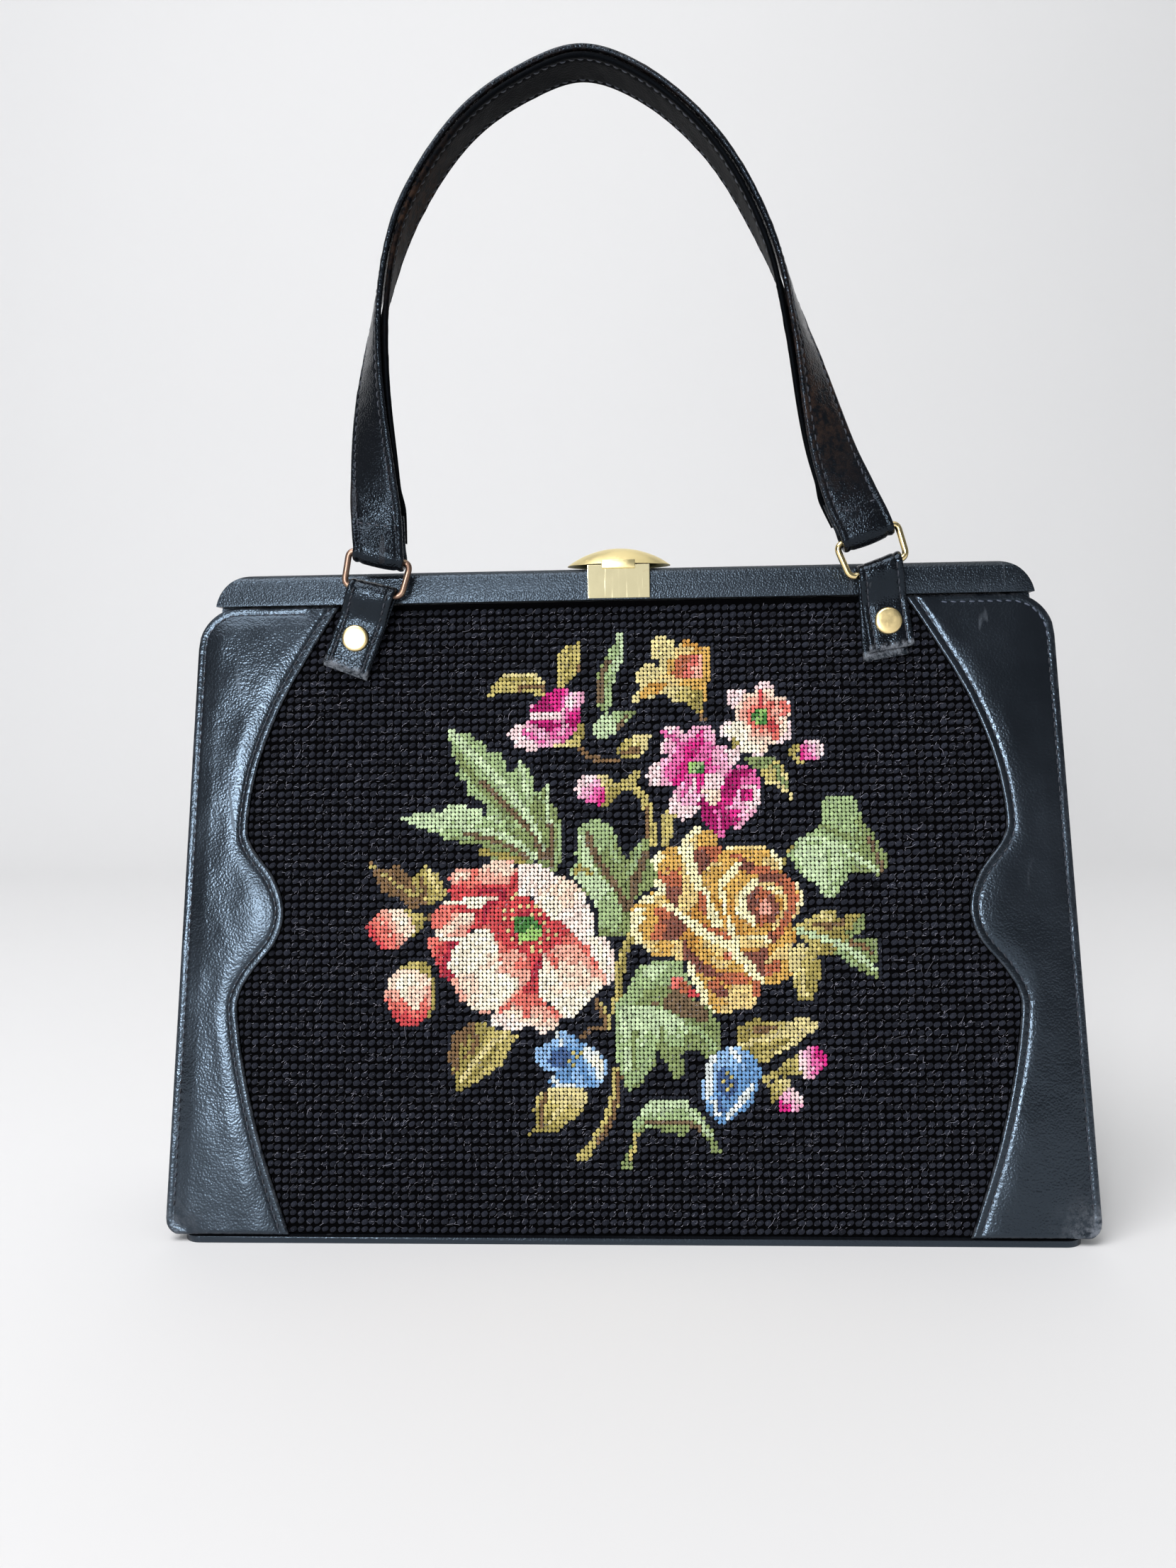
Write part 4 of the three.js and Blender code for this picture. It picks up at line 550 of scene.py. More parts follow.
    ("olive", 0, (56, 240, 57, 242, 58, 240, 56, 239)),
)


# Numbers

def lerp(low, high, share):
    return low + (high - low) * share


def smooth(value):
    share = np.clip(value, 0, 1)
    return share * share * (3 - 2 * share)


def unit(vectors):
    vectors = np.asarray(vectors, float)
    return vectors / np.linalg.norm(vectors, axis=-1, keepdims=True)


def uneven(x, z, size, seed):
    """Soft random bumps of about the given size, from -1 to 1."""
    chance = np.random.default_rng(seed)
    total = 0
    for _ in range(9):
        angle = chance.uniform(0, 2 * math.pi)
        wave = 2 * math.pi / (size * chance.uniform(0.6, 1.8))
        total = total + np.sin(wave * (x * math.cos(angle) + z * math.sin(angle)) + chance.uniform(0, 7))
    return total / 4.5


# Shape of the walls

def height_share(z):
    return (z - WALL_FOOT) / BODY_HEIGHT


def corner_inset(distance, radius):
    short = np.clip(radius - distance, 0, radius)
    return radius - np.sqrt(radius ** 2 - short ** 2)


def wall_half_width(z):
    straight = lerp(FOOT_HALF_WIDTH, SHOULDER_HALF_WIDTH, height_share(z))
    return straight - corner_inset(z - WALL_FOOT, FOOT_RADIUS) - corner_inset(WALL_TOP - z, SHOULDER_RADIUS)


def wall_half_depth(x, z):
    share = height_share(z)
    crown = 1 - np.minimum(1, np.abs(x) / wall_half_width(z)) ** 2
    return lerp(FOOT_HALF_DEPTH, MOUTH_HALF_DEPTH, share) + BELLY_RISE * np.sin(math.pi * share) * crown


def scallop_line():
    """The scalloped edge as points (x, z), through its table by a Catmull-Rom curve."""
    table = np.array([(reach * FOOT_HALF_WIDTH, WALL_FOOT + height * BODY_HEIGHT)
                      for height, reach in SCALLOP])
    last = len(table) - 1
    line = []
    for step in np.linspace(0, last, 20 * len(table) + 1):
        i = min(int(step), last - 1)
        t = step - i
        p = [table[k] for k in (max(i - 1, 0), i, min(i + 1, last), min(i + 2, last))]
        line.append(0.5 * (2 * p[1] + (p[2] - p[0]) * t + (2 * p[0] - 5 * p[1] + 4 * p[2] - p[3]) * t ** 2
                           + (3 * p[1] - p[0] - 3 * p[2] + p[3]) * t ** 3))
    return np.array(line)


SCALLOP_LINE = scallop_line()


def scallop_reach(z):
    return np.interp(z, SCALLOP_LINE[:, 1], SCALLOP_LINE[:, 0])


def outline_line():
    """The wall's outer edge as points (x, z), up the side and in over the shoulder."""
    side = [(wall_half_width(z), z) for z in np.linspace(WALL_FOOT, WALL_TOP - SHOULDER_RADIUS, 90)]
    shoulder = []
    for angle in np.radians(np.linspace(4, 90, 24)):
        z = WALL_TOP - SHOULDER_RADIUS * (1 - math.sin(angle))
        shoulder.append((wall_half_width(z), z))
    top = [(x, WALL_TOP) for x in np.linspace(shoulder[-1][0] - 1, 104, 16)]
    return np.array(side + shoulder + top)


OUTLINE = outline_line()


def distance_to_line(x, z, line):
    """Distance of each point to a line of points, and how far along the line it is."""
    points = np.stack([np.ravel(x), np.ravel(z)], 1)
    start, step = line[:-1], np.diff(line, axis=0)
    length = np.maximum(np.linalg.norm(step, axis=1), 1e-6)
    reached = np.concatenate([[0], np.cumsum(length)])[:-1]
    offset = points[:, None] - start[None]
    share = np.clip((offset * step).sum(2) / (length ** 2), 0, 1)
    gap = np.linalg.norm(offset - share[..., None] * step, axis=2)
    nearest = gap.argmin(1)
    rows = np.arange(len(points))
    along = reached[nearest] + share[rows, nearest] * length[nearest]
    return gap[rows, nearest].reshape(np.shape(x)), along.reshape(np.shape(x))


def offset_line(line, distance):
    """The line moved sideways, to the right of its run."""
    along = unit(np.gradient(line, axis=0))
    return line + np.stack([along[:, 1], -along[:, 0]], 1) * distance


# Meshes

def grid_faces(rows, columns, closed=False):
    """Four-sided faces of a grid of points, row after row."""
    i, j = np.meshgrid(np.arange(rows - 1), np.arange(columns - (0 if closed else 1)), indexing="ij")
    low, high = i * columns, (i + 1) * columns
    near, far = j, (j + 1) % columns
    return np.stack([low + near, low + far, high + far, high + near], -1).reshape(-1, 4)


def new_piece(name, points, faces, body="bag", colours=None, wear=None, weld=0.0):
    """A smooth mesh object from points in millimetres, riding on its body."""
    faces = faces.tolist() if isinstance(faces, np.ndarray) else faces
    mesh = bpy.data.meshes.new(name)
    mesh.from_pydata((np.asarray(points, float) / 1000).tolist(), [], faces)
    if colours is not None:
        layer = mesh.attributes.new("dye", "FLOAT_COLOR", "POINT")
        shades = np.concatenate([colours, np.ones((len(colours), 1))], 1)
        layer.data.foreach_set("color", shades.astype(np.float32).ravel())
    if wear is not None:
        layer = mesh.attributes.new("wear", "FLOAT", "POINT")
        layer.data.foreach_set("value", np.asarray(wear, np.float32).ravel())
    if weld:
        shape = bmesh.new()
        shape.from_mesh(mesh)
        bmesh.ops.remove_doubles(shape, verts=shape.verts, dist=weld / 1000)
        bmesh.ops.recalc_face_normals(shape, faces=shape.faces)
        shape.to_mesh(mesh)
        shape.free()
    mesh.polygons.foreach_set("use_smooth", [True] * len(mesh.polygons))
    mesh.update()
    piece = bpy.data.objects.new(name, mesh)
    bpy.context.scene.collection.objects.link(piece)
    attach(piece, body)
    return piece


def dress(piece, material, slot, *nodes):
    """Gives a piece its material and hides the imported nodes that it stands for. The slot is not used."""
    piece.data.materials.append(material)
    if nodes:
        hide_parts(*nodes)
    return piece


def softened_copy(node, name, edge):
    """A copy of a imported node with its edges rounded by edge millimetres."""
    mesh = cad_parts[node].data.copy()
    mesh.name = name
    shape = bmesh.new()
    shape.from_mesh(mesh)
    bmesh.ops.remove_doubles(shape, verts=shape.verts, dist=1e-6)
    shape.to_mesh(mesh)
    shape.free()
    mesh.materials.clear()
    mesh.polygons.foreach_set("use_smooth", [True] * len(mesh.polygons))
    mesh.set_sharp_from_angle(angle=SHARP_FOLD)
    piece = bpy.data.objects.new(name, mesh)
    bpy.context.scene.collection.objects.link(piece)
    bevel = piece.modifiers.new("rounded edges", "BEVEL")
    bevel.width = edge / 1000
    bevel.segments = 3
    bevel.limit_method = "ANGLE"
    bevel.angle_limit = SHARP_FOLD
    bevel.harden_normals = True
    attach(piece, "bag")
    return piece


def turned(profile, sides=56):
    """A solid turned about the z axis from its profile of (radius, height)."""
    angles = np.linspace(0, 2 * math.pi, sides, endpoint=False)
    points = np.array([(r * math.cos(a), r * math.sin(a), h) for r, h in profile for a in angles])
    return points, grid_faces(len(profile), sides, closed=True)


def box_points(low, high, edge):
    """A box with chamfered edges, as points and faces."""
    shape = bmesh.new()
    bmesh.ops.create_cube(shape, size=1)
    size = np.subtract(high, low)
    middle = np.add(high, low) / 2
    for vert in shape.verts:
        vert.co = Vector(middle + np.array(vert.co) * size)
    bmesh.ops.bevel(shape, geom=shape.edges[:], offset=edge, segments=2, affect="EDGES", profile=0.5)
    shape.verts.index_update()
    points = np.array([vert.co[:] for vert in shape.verts])
    faces = [[vert.index for vert in face.verts] for face in shape.faces]
    shape.free()
    return points, faces


def together(*parts):
    """Joins (points, faces) pairs into one pair."""
    points, faces, start = [], [], 0
    for part_points, part_faces in parts:
        points.append(part_points)
        faces += [[start + int(i) for i in face] for face in part_faces]
        start += len(part_points)
    return np.concatenate(points), faces


def thread_stitches(centres, along, outward, length, radius):
    """Sewn stitches as small arched threads, one for each centre."""
    steps = np.array([-1, -0.8, -0.35, 0.35, 0.8, 1])
    girth = np.array([0.45, 0.85, 1, 1, 0.85, 0.45])
    lift = 0.45 * radius - (STITCH_SINK + 0.45 * radius) * np.abs(steps) ** 3
    angles = np.linspace(0, 2 * math.pi, 6, endpoint=False)
    centres, along, outward = np.asarray(centres), unit(along), unit(outward)
    side = unit(np.cross(along, outward))
    middle = (centres[:, None] + along[:, None] * (steps[:, None] * length / 2)
              + outward[:, None] * lift[:, None])
    ring = (side[:, None, None] * np.cos(angles)[:, None]
            + outward[:, None, None] * np.sin(angles)[:, None])
    points = middle[:, :, None] + ring * (girth * radius)[:, None, None]
    one = grid_faces(len(steps), len(angles), closed=True)
    count = len(steps) * len(angles)
    faces = (np.arange(len(centres))[:, None, None] * count + one[None]).reshape(-1, 4)
    return points.reshape(-1, 3), faces, count


# Materials

class Recipe:
    """One node material, put together step by step."""

    def __init__(self, name):
        self.material = bpy.data.materials.new(name)
        self.material.use_nodes = True
        self.tree = self.material.node_tree
        self.shader = self.tree.nodes["Principled BSDF"]
        self.place = self.tree.nodes.new("ShaderNodeTexCoord").outputs["Object"]

    def add(self, kind, inputs, **settings):
        node = self.tree.nodes.new(kind)
        for key, value in settings.items():
            setattr(node, key, value)
        for key, value in inputs.items():
            self.feed(node.inputs[key], value)
        return node

    def feed(self, socket, value):
        if isinstance(value, bpy.types.NodeSocket):
            self.tree.links.new(value, socket)
        else:
            socket.default_value = value

    def stretched(self, stretch, turn=(0, 0, 0)):
        node = self.add("ShaderNodeMapping", {"Vector": self.place, "Scale": stretch, "Rotation": turn})
        return node.outputs["Vector"]

    def noise(self, scale, detail=2.0, rough=0.5, place=None, distortion=0.0):
        node = self.add("ShaderNodeTexNoise", {
            "Vector": place or self.place, "Scale": scale, "Detail": detail,
            "Roughness": rough, "Distortion": distortion,
        })
        return node.outputs["Fac"]

    def cells(self, scale, feature="F1", place=None, chance=1.0):
        node = self.add("ShaderNodeTexVoronoi", {
            "Vector": place or self.place, "Scale": scale, "Randomness": chance,
        }, feature=feature)
        return node.outputs["Distance"]

    def span(self, value, low, high, to_low=0.0, to_high=1.0):
        node = self.add("ShaderNodeMapRange", {
            "Value": value, "From Min": low, "From Max": high, "To Min": to_low, "To Max": to_high,
        })
        return node.outputs["Result"]

    def maths(self, operation, first, second=0.0):
        node = self.tree.nodes.new("ShaderNodeMath")
        node.operation = operation
        self.feed(node.inputs[0], first)
        self.feed(node.inputs[1], second)
        return node.outputs["Value"]

    def blend(self, share, first, second, kind="MIX"):
        node = self.tree.nodes.new("ShaderNodeMix")
        node.data_type = "RGBA"
        node.blend_type = kind
        self.feed(node.inputs["Factor"], share)
        self.feed(node.inputs["A"], first if isinstance(first, bpy.types.NodeSocket) else (*first, 1))
        self.feed(node.inputs["B"], second if isinstance(second, bpy.types.NodeSocket) else (*second, 1))
        return node.outputs["Result"]

    def attribute(self, name, output="Fac"):
        return self.add("ShaderNodeAttribute", {}, attribute_name=name).outputs[output]

    def bump(self, height, depth, under=None):
        inputs = {"Height": height, "Distance": depth / 1000, "Strength": 1.0}
        if under:
            inputs["Normal"] = under
        return self.add("ShaderNodeBump", inputs).outputs["Normal"]

    def finish(self, **values):
        for key, value in values.items():
            self.feed(self.shader.inputs[key.replace("_", " ")], value)
        return self.material


def leather(name, colour, worn_colour, pore_size, pore_depth, roughness, creases, polish):
    """Finished calf leather: pores, soft unevenness, hairline scratches and rubbed edges."""
    mix = Recipe(name)
    pores = mix.cells(1500 / pore_size, feature="SMOOTH_F1")
    skin = mix.noise(900 / pore_size, 4, 0.6)
    patches = mix.noise(28, 3, 0.55)
    hairlines = mix.noise(240, 1, 0.5, mix.stretched((1, 1, 0.06), (0, 0.5, 0.2)), 0.6)
    scratch = mix.span(hairlines, 0.73, 0.77)
    wear = mix.maths("MULTIPLY", mix.attribute("wear"), mix.span(mix.noise(420, 4, 0.7), 0.42, 0.62))
    tone = mix.blend(mix.span(patches, 0.35, 0.7), colour, [c * 1.7 for c in colour])
    tone = mix.blend(mix.maths("MULTIPLY", scratch, 0.12), tone, worn_colour)
    tone = mix.blend(wear, tone, worn_colour)
    normal = mix.bump(patches, 0.35)
    normal = mix.bump(mix.maths("ADD", mix.span(pores, 0.1, 0.6), mix.maths("MULTIPLY", skin, 0.8)),
                      pore_depth, normal)
    if creases:
        folds = mix.noise(95, 1.5, 0.5, mix.stretched((0.6, 0.6, 1.2), (0, 0.5, 0)), 0.8)
        normal = mix.bump(folds, creases, normal)
    shine = mix.maths("ADD", mix.span(patches, 0.3, 0.7, roughness - 0.05, roughness + 0.07),
                      mix.maths("MULTIPLY", mix.maths("ADD", wear, scratch), 0.15))
    mix.shader.inputs["Specular Tint"].default_value = (0.6, 0.79, 1.0, 1.0)
    mix.shader.inputs["Specular IOR Level"].default_value = polish
    return mix.finish(Base_Color=tone, Roughness=shine, Normal=normal)


def wool(name, fuzz_sheen):
    """Tapestry wool in the stitch's own dye, with fibres along it and pale specks of painted sheen for its
    fuzz.
    """
    mix = Recipe(name)
    dye = mix.attribute("dye", "Color")
    fibres = mix.noise(2600, 3, 0.65, mix.stretched((1.0, 1.0, 0.45), (0, 0.8, 0)))
    tone = mix.blend(0.9, dye, mix.blend(mix.span(fibres, 0.3, 0.75), (0.5, 0.5, 0.5), (1.35, 1.35, 1.35)),
                     "MULTIPLY")
    # Specks of the fuzz colour: real fuzz on the wool, its pale grey is painted sheen
    lint_sheen = mix.span(mix.noise(3600, 2, 0.5), 0.66, 0.78)
    tone = mix.blend(mix.maths("MULTIPLY", lint_sheen, 0.5), tone, fuzz_sheen)
    normal = mix.bump(fibres, 0.12)
    mix.shader.inputs["Sheen Weight"].default_value = 0.08
    mix.shader.inputs["Sheen Roughness"].default_value = 0.5
    mix.shader.inputs["Sheen Tint"].default_value = (0.75, 0.8, 1.0, 1.0)
    mix.shader.inputs["Specular IOR Level"].default_value = 0.06
    return mix.finish(Base_Color=tone, Roughness=0.92, Normal=normal)


def metal(name, colour, worn_colour, roughness, scratches, dull=0.0):
    """Plated metal with fine scratches and worn places."""
    mix = Recipe(name)
    fine = mix.noise(900, 2, 0.6, mix.stretched((1, 1, 0.05), (0, 0.7, 0)), 0.3)
    cross = mix.noise(700, 2, 0.6, mix.stretched((1, 1, 0.06), (0, -0.5, 0.3)), 0.2)
    marks = mix.maths("MAXIMUM", mix.span(fine, 0.6, 0.72), mix.span(cross, 0.62, 0.72))
    patches = mix.noise(160, 4, 0.65)
    tone = mix.blend(mix.span(patches, 0.62 - dull * 0.3, 0.8 - dull * 0.2), colour, worn_colour)
    shine = mix.maths("ADD", mix.span(patches, 0.3, 0.8, roughness * 0.8, roughness * 1.5),
                      mix.maths("MULTIPLY", marks, scratches * 0.4))
    normal = mix.bump(marks, 0.012 * scratches)
    mix.shader.inputs["Metallic"].default_value = 1.0
    return mix.finish(Base_Color=tone, Roughness=shine, Normal=normal)


def thread(name):
    """Waxed sewing thread in the stitch's own dye."""
    mix = Recipe(name)
    twist = mix.noise(3000, 1, 0.5)
    tone = mix.blend(0.6, mix.attribute("dye", "Color"),
                     mix.blend(twist, (0.6, 0.6, 0.6), (1.4, 1.4, 1.4)), "MULTIPLY")
    return mix.finish(Base_Color=tone, Roughness=0.5, Normal=mix.bump(twist, 0.05))


def canvas_cloth(name, colour):
    """The canvas that shows between the stitches, in a near-black darker than the wool that paints the
    shade in the gaps.
    """
    mix = Recipe(name)
    weave = mix.noise(1600, 2, 0.6)
    tone = mix.blend(weave, colour, [c * 2 for c in colour])
    mix.shader.inputs["Specular IOR Level"].default_value = 0.02
    return mix.finish(Base_Color=tone, Roughness=0.95, Normal=mix.bump(weave, 0.1))


def plain_stage(name, colour):
    """Matt paper for the floor and backdrop."""
    mix = Recipe(name)
    tone = mix.blend(mix.noise(3, 2), colour, [c * 0.985 for c in colour])
    return mix.finish(Base_Color=tone, Roughness=0.9)


def shared(name, make):
    """The material of that name, made on first use."""
    return bpy.data.materials.get(name) or make(name)


def leather_of(kind):
    """The leather of one kind of piece, such as the handle's."""
    look = bpy.context.scene.handbag_looks
    finish = LEATHERS[kind]
    worn = look.rubbed_leather if finish["handled"] else look.worn_leather
    return shared(f"{kind} leather", lambda name: leather(
        name, [c * finish["shade"] for c in look.leather], worn, finish["pore_size"],
        look.grain * finish["pore_depth"], finish["roughness"], finish["creases"], finish["polish"]))


def seam_thread():
    return shared("seam thread", thread)


def metal_of(name):
    """The metal of that name from the table, in the colours of the settings."""
    look = bpy.context.scene.handbag_looks
    finish = METALS[name]
    return shared(name, lambda word: metal(
        word, getattr(look, finish["colour"]), getattr(look, finish["worn"]),
        finish["roughness"], finish["scratches"], finish["dull"]))


# Settings that a user would change

def length_setting(name, description, default, low, high):
    return FloatProperty(name=name, description=description, default=default, min=low, max=high,
                         precision=6, unit="LENGTH", subtype="DISTANCE")


def colour_setting(name, description, default):
    return FloatVectorProperty(name=name, description=description, default=default, min=0, max=1,
                               size=3, subtype="COLOR")


class HandbagSizes(bpy.types.PropertyGroup):
    """Sizes of stitches, seams and padding."""

    ground_pitch: length_setting("Ground stitch", "Width and height of one large needlepoint stitch",
                                 0.00254, 0.002, 0.004)
    ground_rise: length_setting("Ground pile", "How far the large stitches stand off the canvas",
                                0.00095, 0.0003, 0.0015)
    bouquet_rise: length_setting("Bouquet pile", "How far the small stitches stand off the canvas",
                                 0.0007, 0.0003, 0.0015)
    seam_pitch: length_setting("Seam stitch", "Length of one sewn stitch with its gap",
                               0.0029, 0.0015, 0.006)
    seam_inset: length_setting("Seam inset", "Distance of a seam from its leather's edge",
                               0.0025, 0.0015, 0.005)
    thread_radius: length_setting("Thread", "Radius of the sewing thread",
                                  0.00028, 0.0001, 0.0006)
    padding: length_setting("Padding", "Rise of the padded leather beside its scalloped edge",
                            0.0008, 0.0, 0.004)


class HandbagLooks(bpy.types.PropertyGroup):
    """Colours and finishes."""

    leather: colour_setting("Leather", "Colour of the black leather", (0.0042, 0.0046, 0.0058))
    worn_leather: colour_setting("Worn leather", "Colour where the leather is rubbed", (0.16, 0.17, 0.19))
    rubbed_leather: colour_setting("Rubbed handle", "Colour where hands have rubbed the handle",
                                   (0.055, 0.03, 0.018))
    ground_wool: colour_setting("Ground wool", "Colour of the needlepoint ground", (0.015, 0.0168, 0.024))
    # Fuzz is a pale grey that paints the sheen of the loose dark fibres and specks of the wool
    fuzz_sheen: colour_setting("Fuzz", "Colour of the loose fibres on the wool", (0.28, 0.28, 0.34))
    seam: colour_setting("Thread", "Colour of the sewing thread", (0.009, 0.011, 0.016))
    brass: colour_setting("Brass", "Colour of the clasp, rivets and right ring", (0.86, 0.68, 0.34))
    cap_brass: colour_setting("Cap brass", "Colour of the clasp's dome", (0.97, 0.82, 0.42))
    pale_brass: colour_setting("Pale brass", "Colour of the clasp's plate", (0.76, 0.69, 0.44))
    worn_brass: colour_setting("Worn brass", "Colour where the plating is worn", (0.62, 0.5, 0.3))
    copper: colour_setting("Worn ring", "Colour of the left ring", (0.3, 0.19, 0.14))
    grain: length_setting("Grain", "Depth of the leather's pores",
                          0.00004, 0.0, 0.0005)
    fibres: IntProperty(
        name="Fibres", description="Number of loose wool fibres on the needlepoint", default=15000, min=100)
    chance: IntProperty(
        name="Chance", description="Seed of the small unevenness of hand work", default=5, min=0)


# Leather walls

def edge_drop(distance, thickness):
    """How far a half-round leather edge falls away at a distance from it."""
    radius = thickness / 2
    short = np.clip(radius - distance, 0, radius)
    return radius - np.sqrt(radius ** 2 - short ** 2)


def wall_rows(count):
    """Heights of a wall's rows, close together at its ends."""
    ends = np.array([0, 0.06, 0.2, 0.42, 0.8, 1.3, 2.0, 3.2])
    shoulder = SHOULDER_RADIUS * (1 - np.sin(np.linspace(0.25, 1.4, 14)))[::-1]
    top = np.unique(np.concatenate([ends, shoulder]))
    middle = np.linspace(WALL_FOOT + 5, WALL_TOP - SHOULDER_RADIUS - 0.5, count)
    return np.concatenate([WALL_FOOT + ends, middle, (WALL_TOP - top)[::-1]])


def groove(distance, width):
    return np.exp(-(distance / width) ** 2)


def side_relief(x, z):
    """Padding, seams and unevenness of a scalloped side's outer face."""
    size = bpy.context.scene.handbag_sizes
    inset, pitch = size.seam_inset * 1000, size.seam_pitch * 1000
    inner, inner_along = distance_to_line(x, z, SCALLOP_LINE)
    outer, outer_along = distance_to_line(x, z, OUTLINE)
    width = np.maximum(inner + outer - 2 * inset, 1)
    crest = CREST_SHARE * width
    climb = np.sin(math.pi / 2 * np.clip((inner - inset) / crest, 0, 1))
    fall = 1 - PADDING_FALL * np.clip((inner - inset - crest) / (width - crest), 0, 1) ** 1.4
    fullness = np.clip(width / FULL_PADDING_WIDTH, 0.5, 1.2)
    rise = size.padding * 1000 * fullness * climb * fall * smooth((outer - inset) / 5)
    rise = rise - SEAM_DEPTH * groove(inner - inset, 0.5) - SEAM_DEPTH * groove(outer - inset, 0.6)
    rise = rise + SCALLOP_DENT * groove(inner - inset, 1.5) * np.cos(2 * math.pi * inner_along / pitch)
    rise = rise + OUTER_DENT * groove(outer - inset, 1.5) * np.cos(2 * math.pi * outer_along / pitch)
    return rise + 0.10 * uneven(x, z, 17, 3) * smooth((inner - 3) / 6) + 0.03 * uneven(x, z, 5, 4)


def side_depth(x, z):
    return wall_half_depth(x, z) + side_relief(x, z)


def wall_shell(rows, columns_at, face_at, thickness):
    """A closed leather wall: an outer and an inner face that meet in rounded edges.

    columns_at(z) gives the x of a row's points, face_at(x, z) the depth of its outer face."""
    xs = np.array([columns_at(z) for z in rows])
    zs = np.repeat(rows[:, None], xs.shape[1], 1)
    low, high = xs[:, :1], xs[:, -1:]
    edge = np.minimum(np.minimum(xs - low, high - xs), np.minimum(zs - rows[0], rows[-1] - zs))
    drop = edge_drop(edge, thickness)
    plain = wall_half_depth(xs, zs)
    outer = plain + (face_at(xs, zs) - plain) * smooth(edge / 1.2) - drop
    inner = plain - thickness + drop
    front = np.stack([xs, -outer, zs], -1).reshape(-1, 3)
    back = np.stack([xs, -inner, zs], -1).reshape(-1, 3)
    faces = grid_faces(len(rows), xs.shape[1])
    return np.concatenate([front, back]), np.concatenate([faces, faces[:, ::-1] + len(front)]), edge


def near_edges(low, high, middle_steps):
    """Positions from low to high, close together near both."""
    close = np.array([0, 0.05, 0.18, 0.4, 0.8, 1.2, 1.6, 1.95, 2.25, 2.5, 2.75, 3.05, 3.4, 4, 4.8, 5.8])
    middle = np.linspace(low + 7, high - 7, middle_steps)
    return np.concatenate([low + close, middle, (high - close)[::-1]])


def seam_stitches(line, depth_at, mirror, pitch, front=-1):
    """Centres, runs and outward directions of stitches along a line of (x, z) on a wall."""
    step = np.linalg.norm(np.diff(line, axis=0), axis=1)
    reached = np.concatenate([[0], np.cumsum(step)])
    places = np.arange(pitch / 2, reached[-1], pitch)
    x, z = (np.interp(places, reached, line[:, k]) for k in (0, 1))
    x2, z2 = (np.interp(places + 0.2, reached, line[:, k]) for k in (0, 1))
    depth, depth2 = depth_at(x, z), depth_at(x2, z2)
    centres = np.stack([mirror * x, front * depth, z], 1)
    along = np.stack([mirror * x2, front * depth2, z2], 1) - centres
    tilt_x = (depth_at(x + 0.4, z) - depth_at(x - 0.4, z)) / 0.8
    tilt_z = (depth_at(x, z + 0.4) - depth_at(x, z - 0.4)) / 0.8
    outward = np.stack([-mirror * tilt_x * 0.5, np.full(len(x), float(front)), -tilt_z * 0.5], 1)
    return centres, unit(along), unit(outward)


def sewn(name, groups, dye, light=0.0):
    """One mesh of sewn stitches from groups of (centres, runs, outward)."""
    size = bpy.context.scene.handbag_sizes
    centres = np.concatenate([group[0] for group in groups])
    along = np.concatenate([group[1] for group in groups])
    outward = np.concatenate([group[2] for group in groups])
    chance = np.random.default_rng(bpy.context.scene.handbag_looks.chance + len(centres))
    skew = chance.normal(0, 0.07, len(centres))[:, None]
    along = unit(along + np.cross(along, outward) * (STITCH_SLANT + skew))
    points, faces, count = thread_stitches(
        centres, along, outward, size.seam_pitch * 1000 * STITCH_SHARE, size.thread_radius * 1000)
    shade = chance.uniform(*THREAD_SHADES, len(centres))
    colours = np.repeat(shade + light, count)[:, None] * np.array(dye)
    return new_piece(name, points, faces, colours=np.clip(colours, 0, 1))


class HANDBAG_OT_sides(bpy.types.Operator):
    """Scalloped leather sides of the front, with padding and seams"""

    bl_idname = "handbag.sides"
    bl_label = "Scalloped sides"

    def execute(self, context):
        size, look = context.scene.handbag_sizes, context.scene.handbag_looks
        rows = wall_rows(200)

        def columns_at(z):
            return near_edges(scallop_reach(z), wall_half_width(z), 16)

        points, faces, edge = wall_shell(rows, columns_at, side_depth, LEATHER_THICKNESS)
        heights = points[:, 2]
        wear = np.concatenate([np.exp(-(edge.ravel() / 0.7) ** 2) * 0.25] * 2)
        corner = np.hypot(points[:, 0] - FOOT_HALF_WIDTH, (heights - WALL_FOOT)) / 9
        inset, pitch = size.seam_inset * 1000, size.seam_pitch * 1000
        scallop = offset_line(SCALLOP_LINE[3:-2], inset)
        outline = offset_line(OUTLINE[4:], -inset)
        for side, name in ((-1, "left"), (1, "right")):
            scuffed = wear + FOOT_SCUFF[name] * np.exp(-corner ** 2)
            piece = new_piece(f"side_leather_{name}", points * (side, 1, 1), faces,
                              wear=np.clip(scuffed, 0, 1), weld=0.002)
            dress(piece, leather_of("body"), "body_leather", f"leather_side_{name}")
            groups = [
                seam_stitches(scallop, side_depth, side, pitch),
                seam_stitches(outline, side_depth, side, pitch),
            ]
            high = np.concatenate([group[0] for group in groups])[:, 2] > WALL_TOP - 14
            shoulder = np.concatenate([np.zeros(len(groups[0][0]), bool), np.ones(len(groups[1][0]), bool)])
            light = np.where(high & shoulder, PALE_SHOULDER[name], 0.0)
            seam = sewn(f"side_seams_{name}", groups, look.seam, light=light)
            dress(seam, seam_thread(), "body_leather")
        return {"FINISHED"}


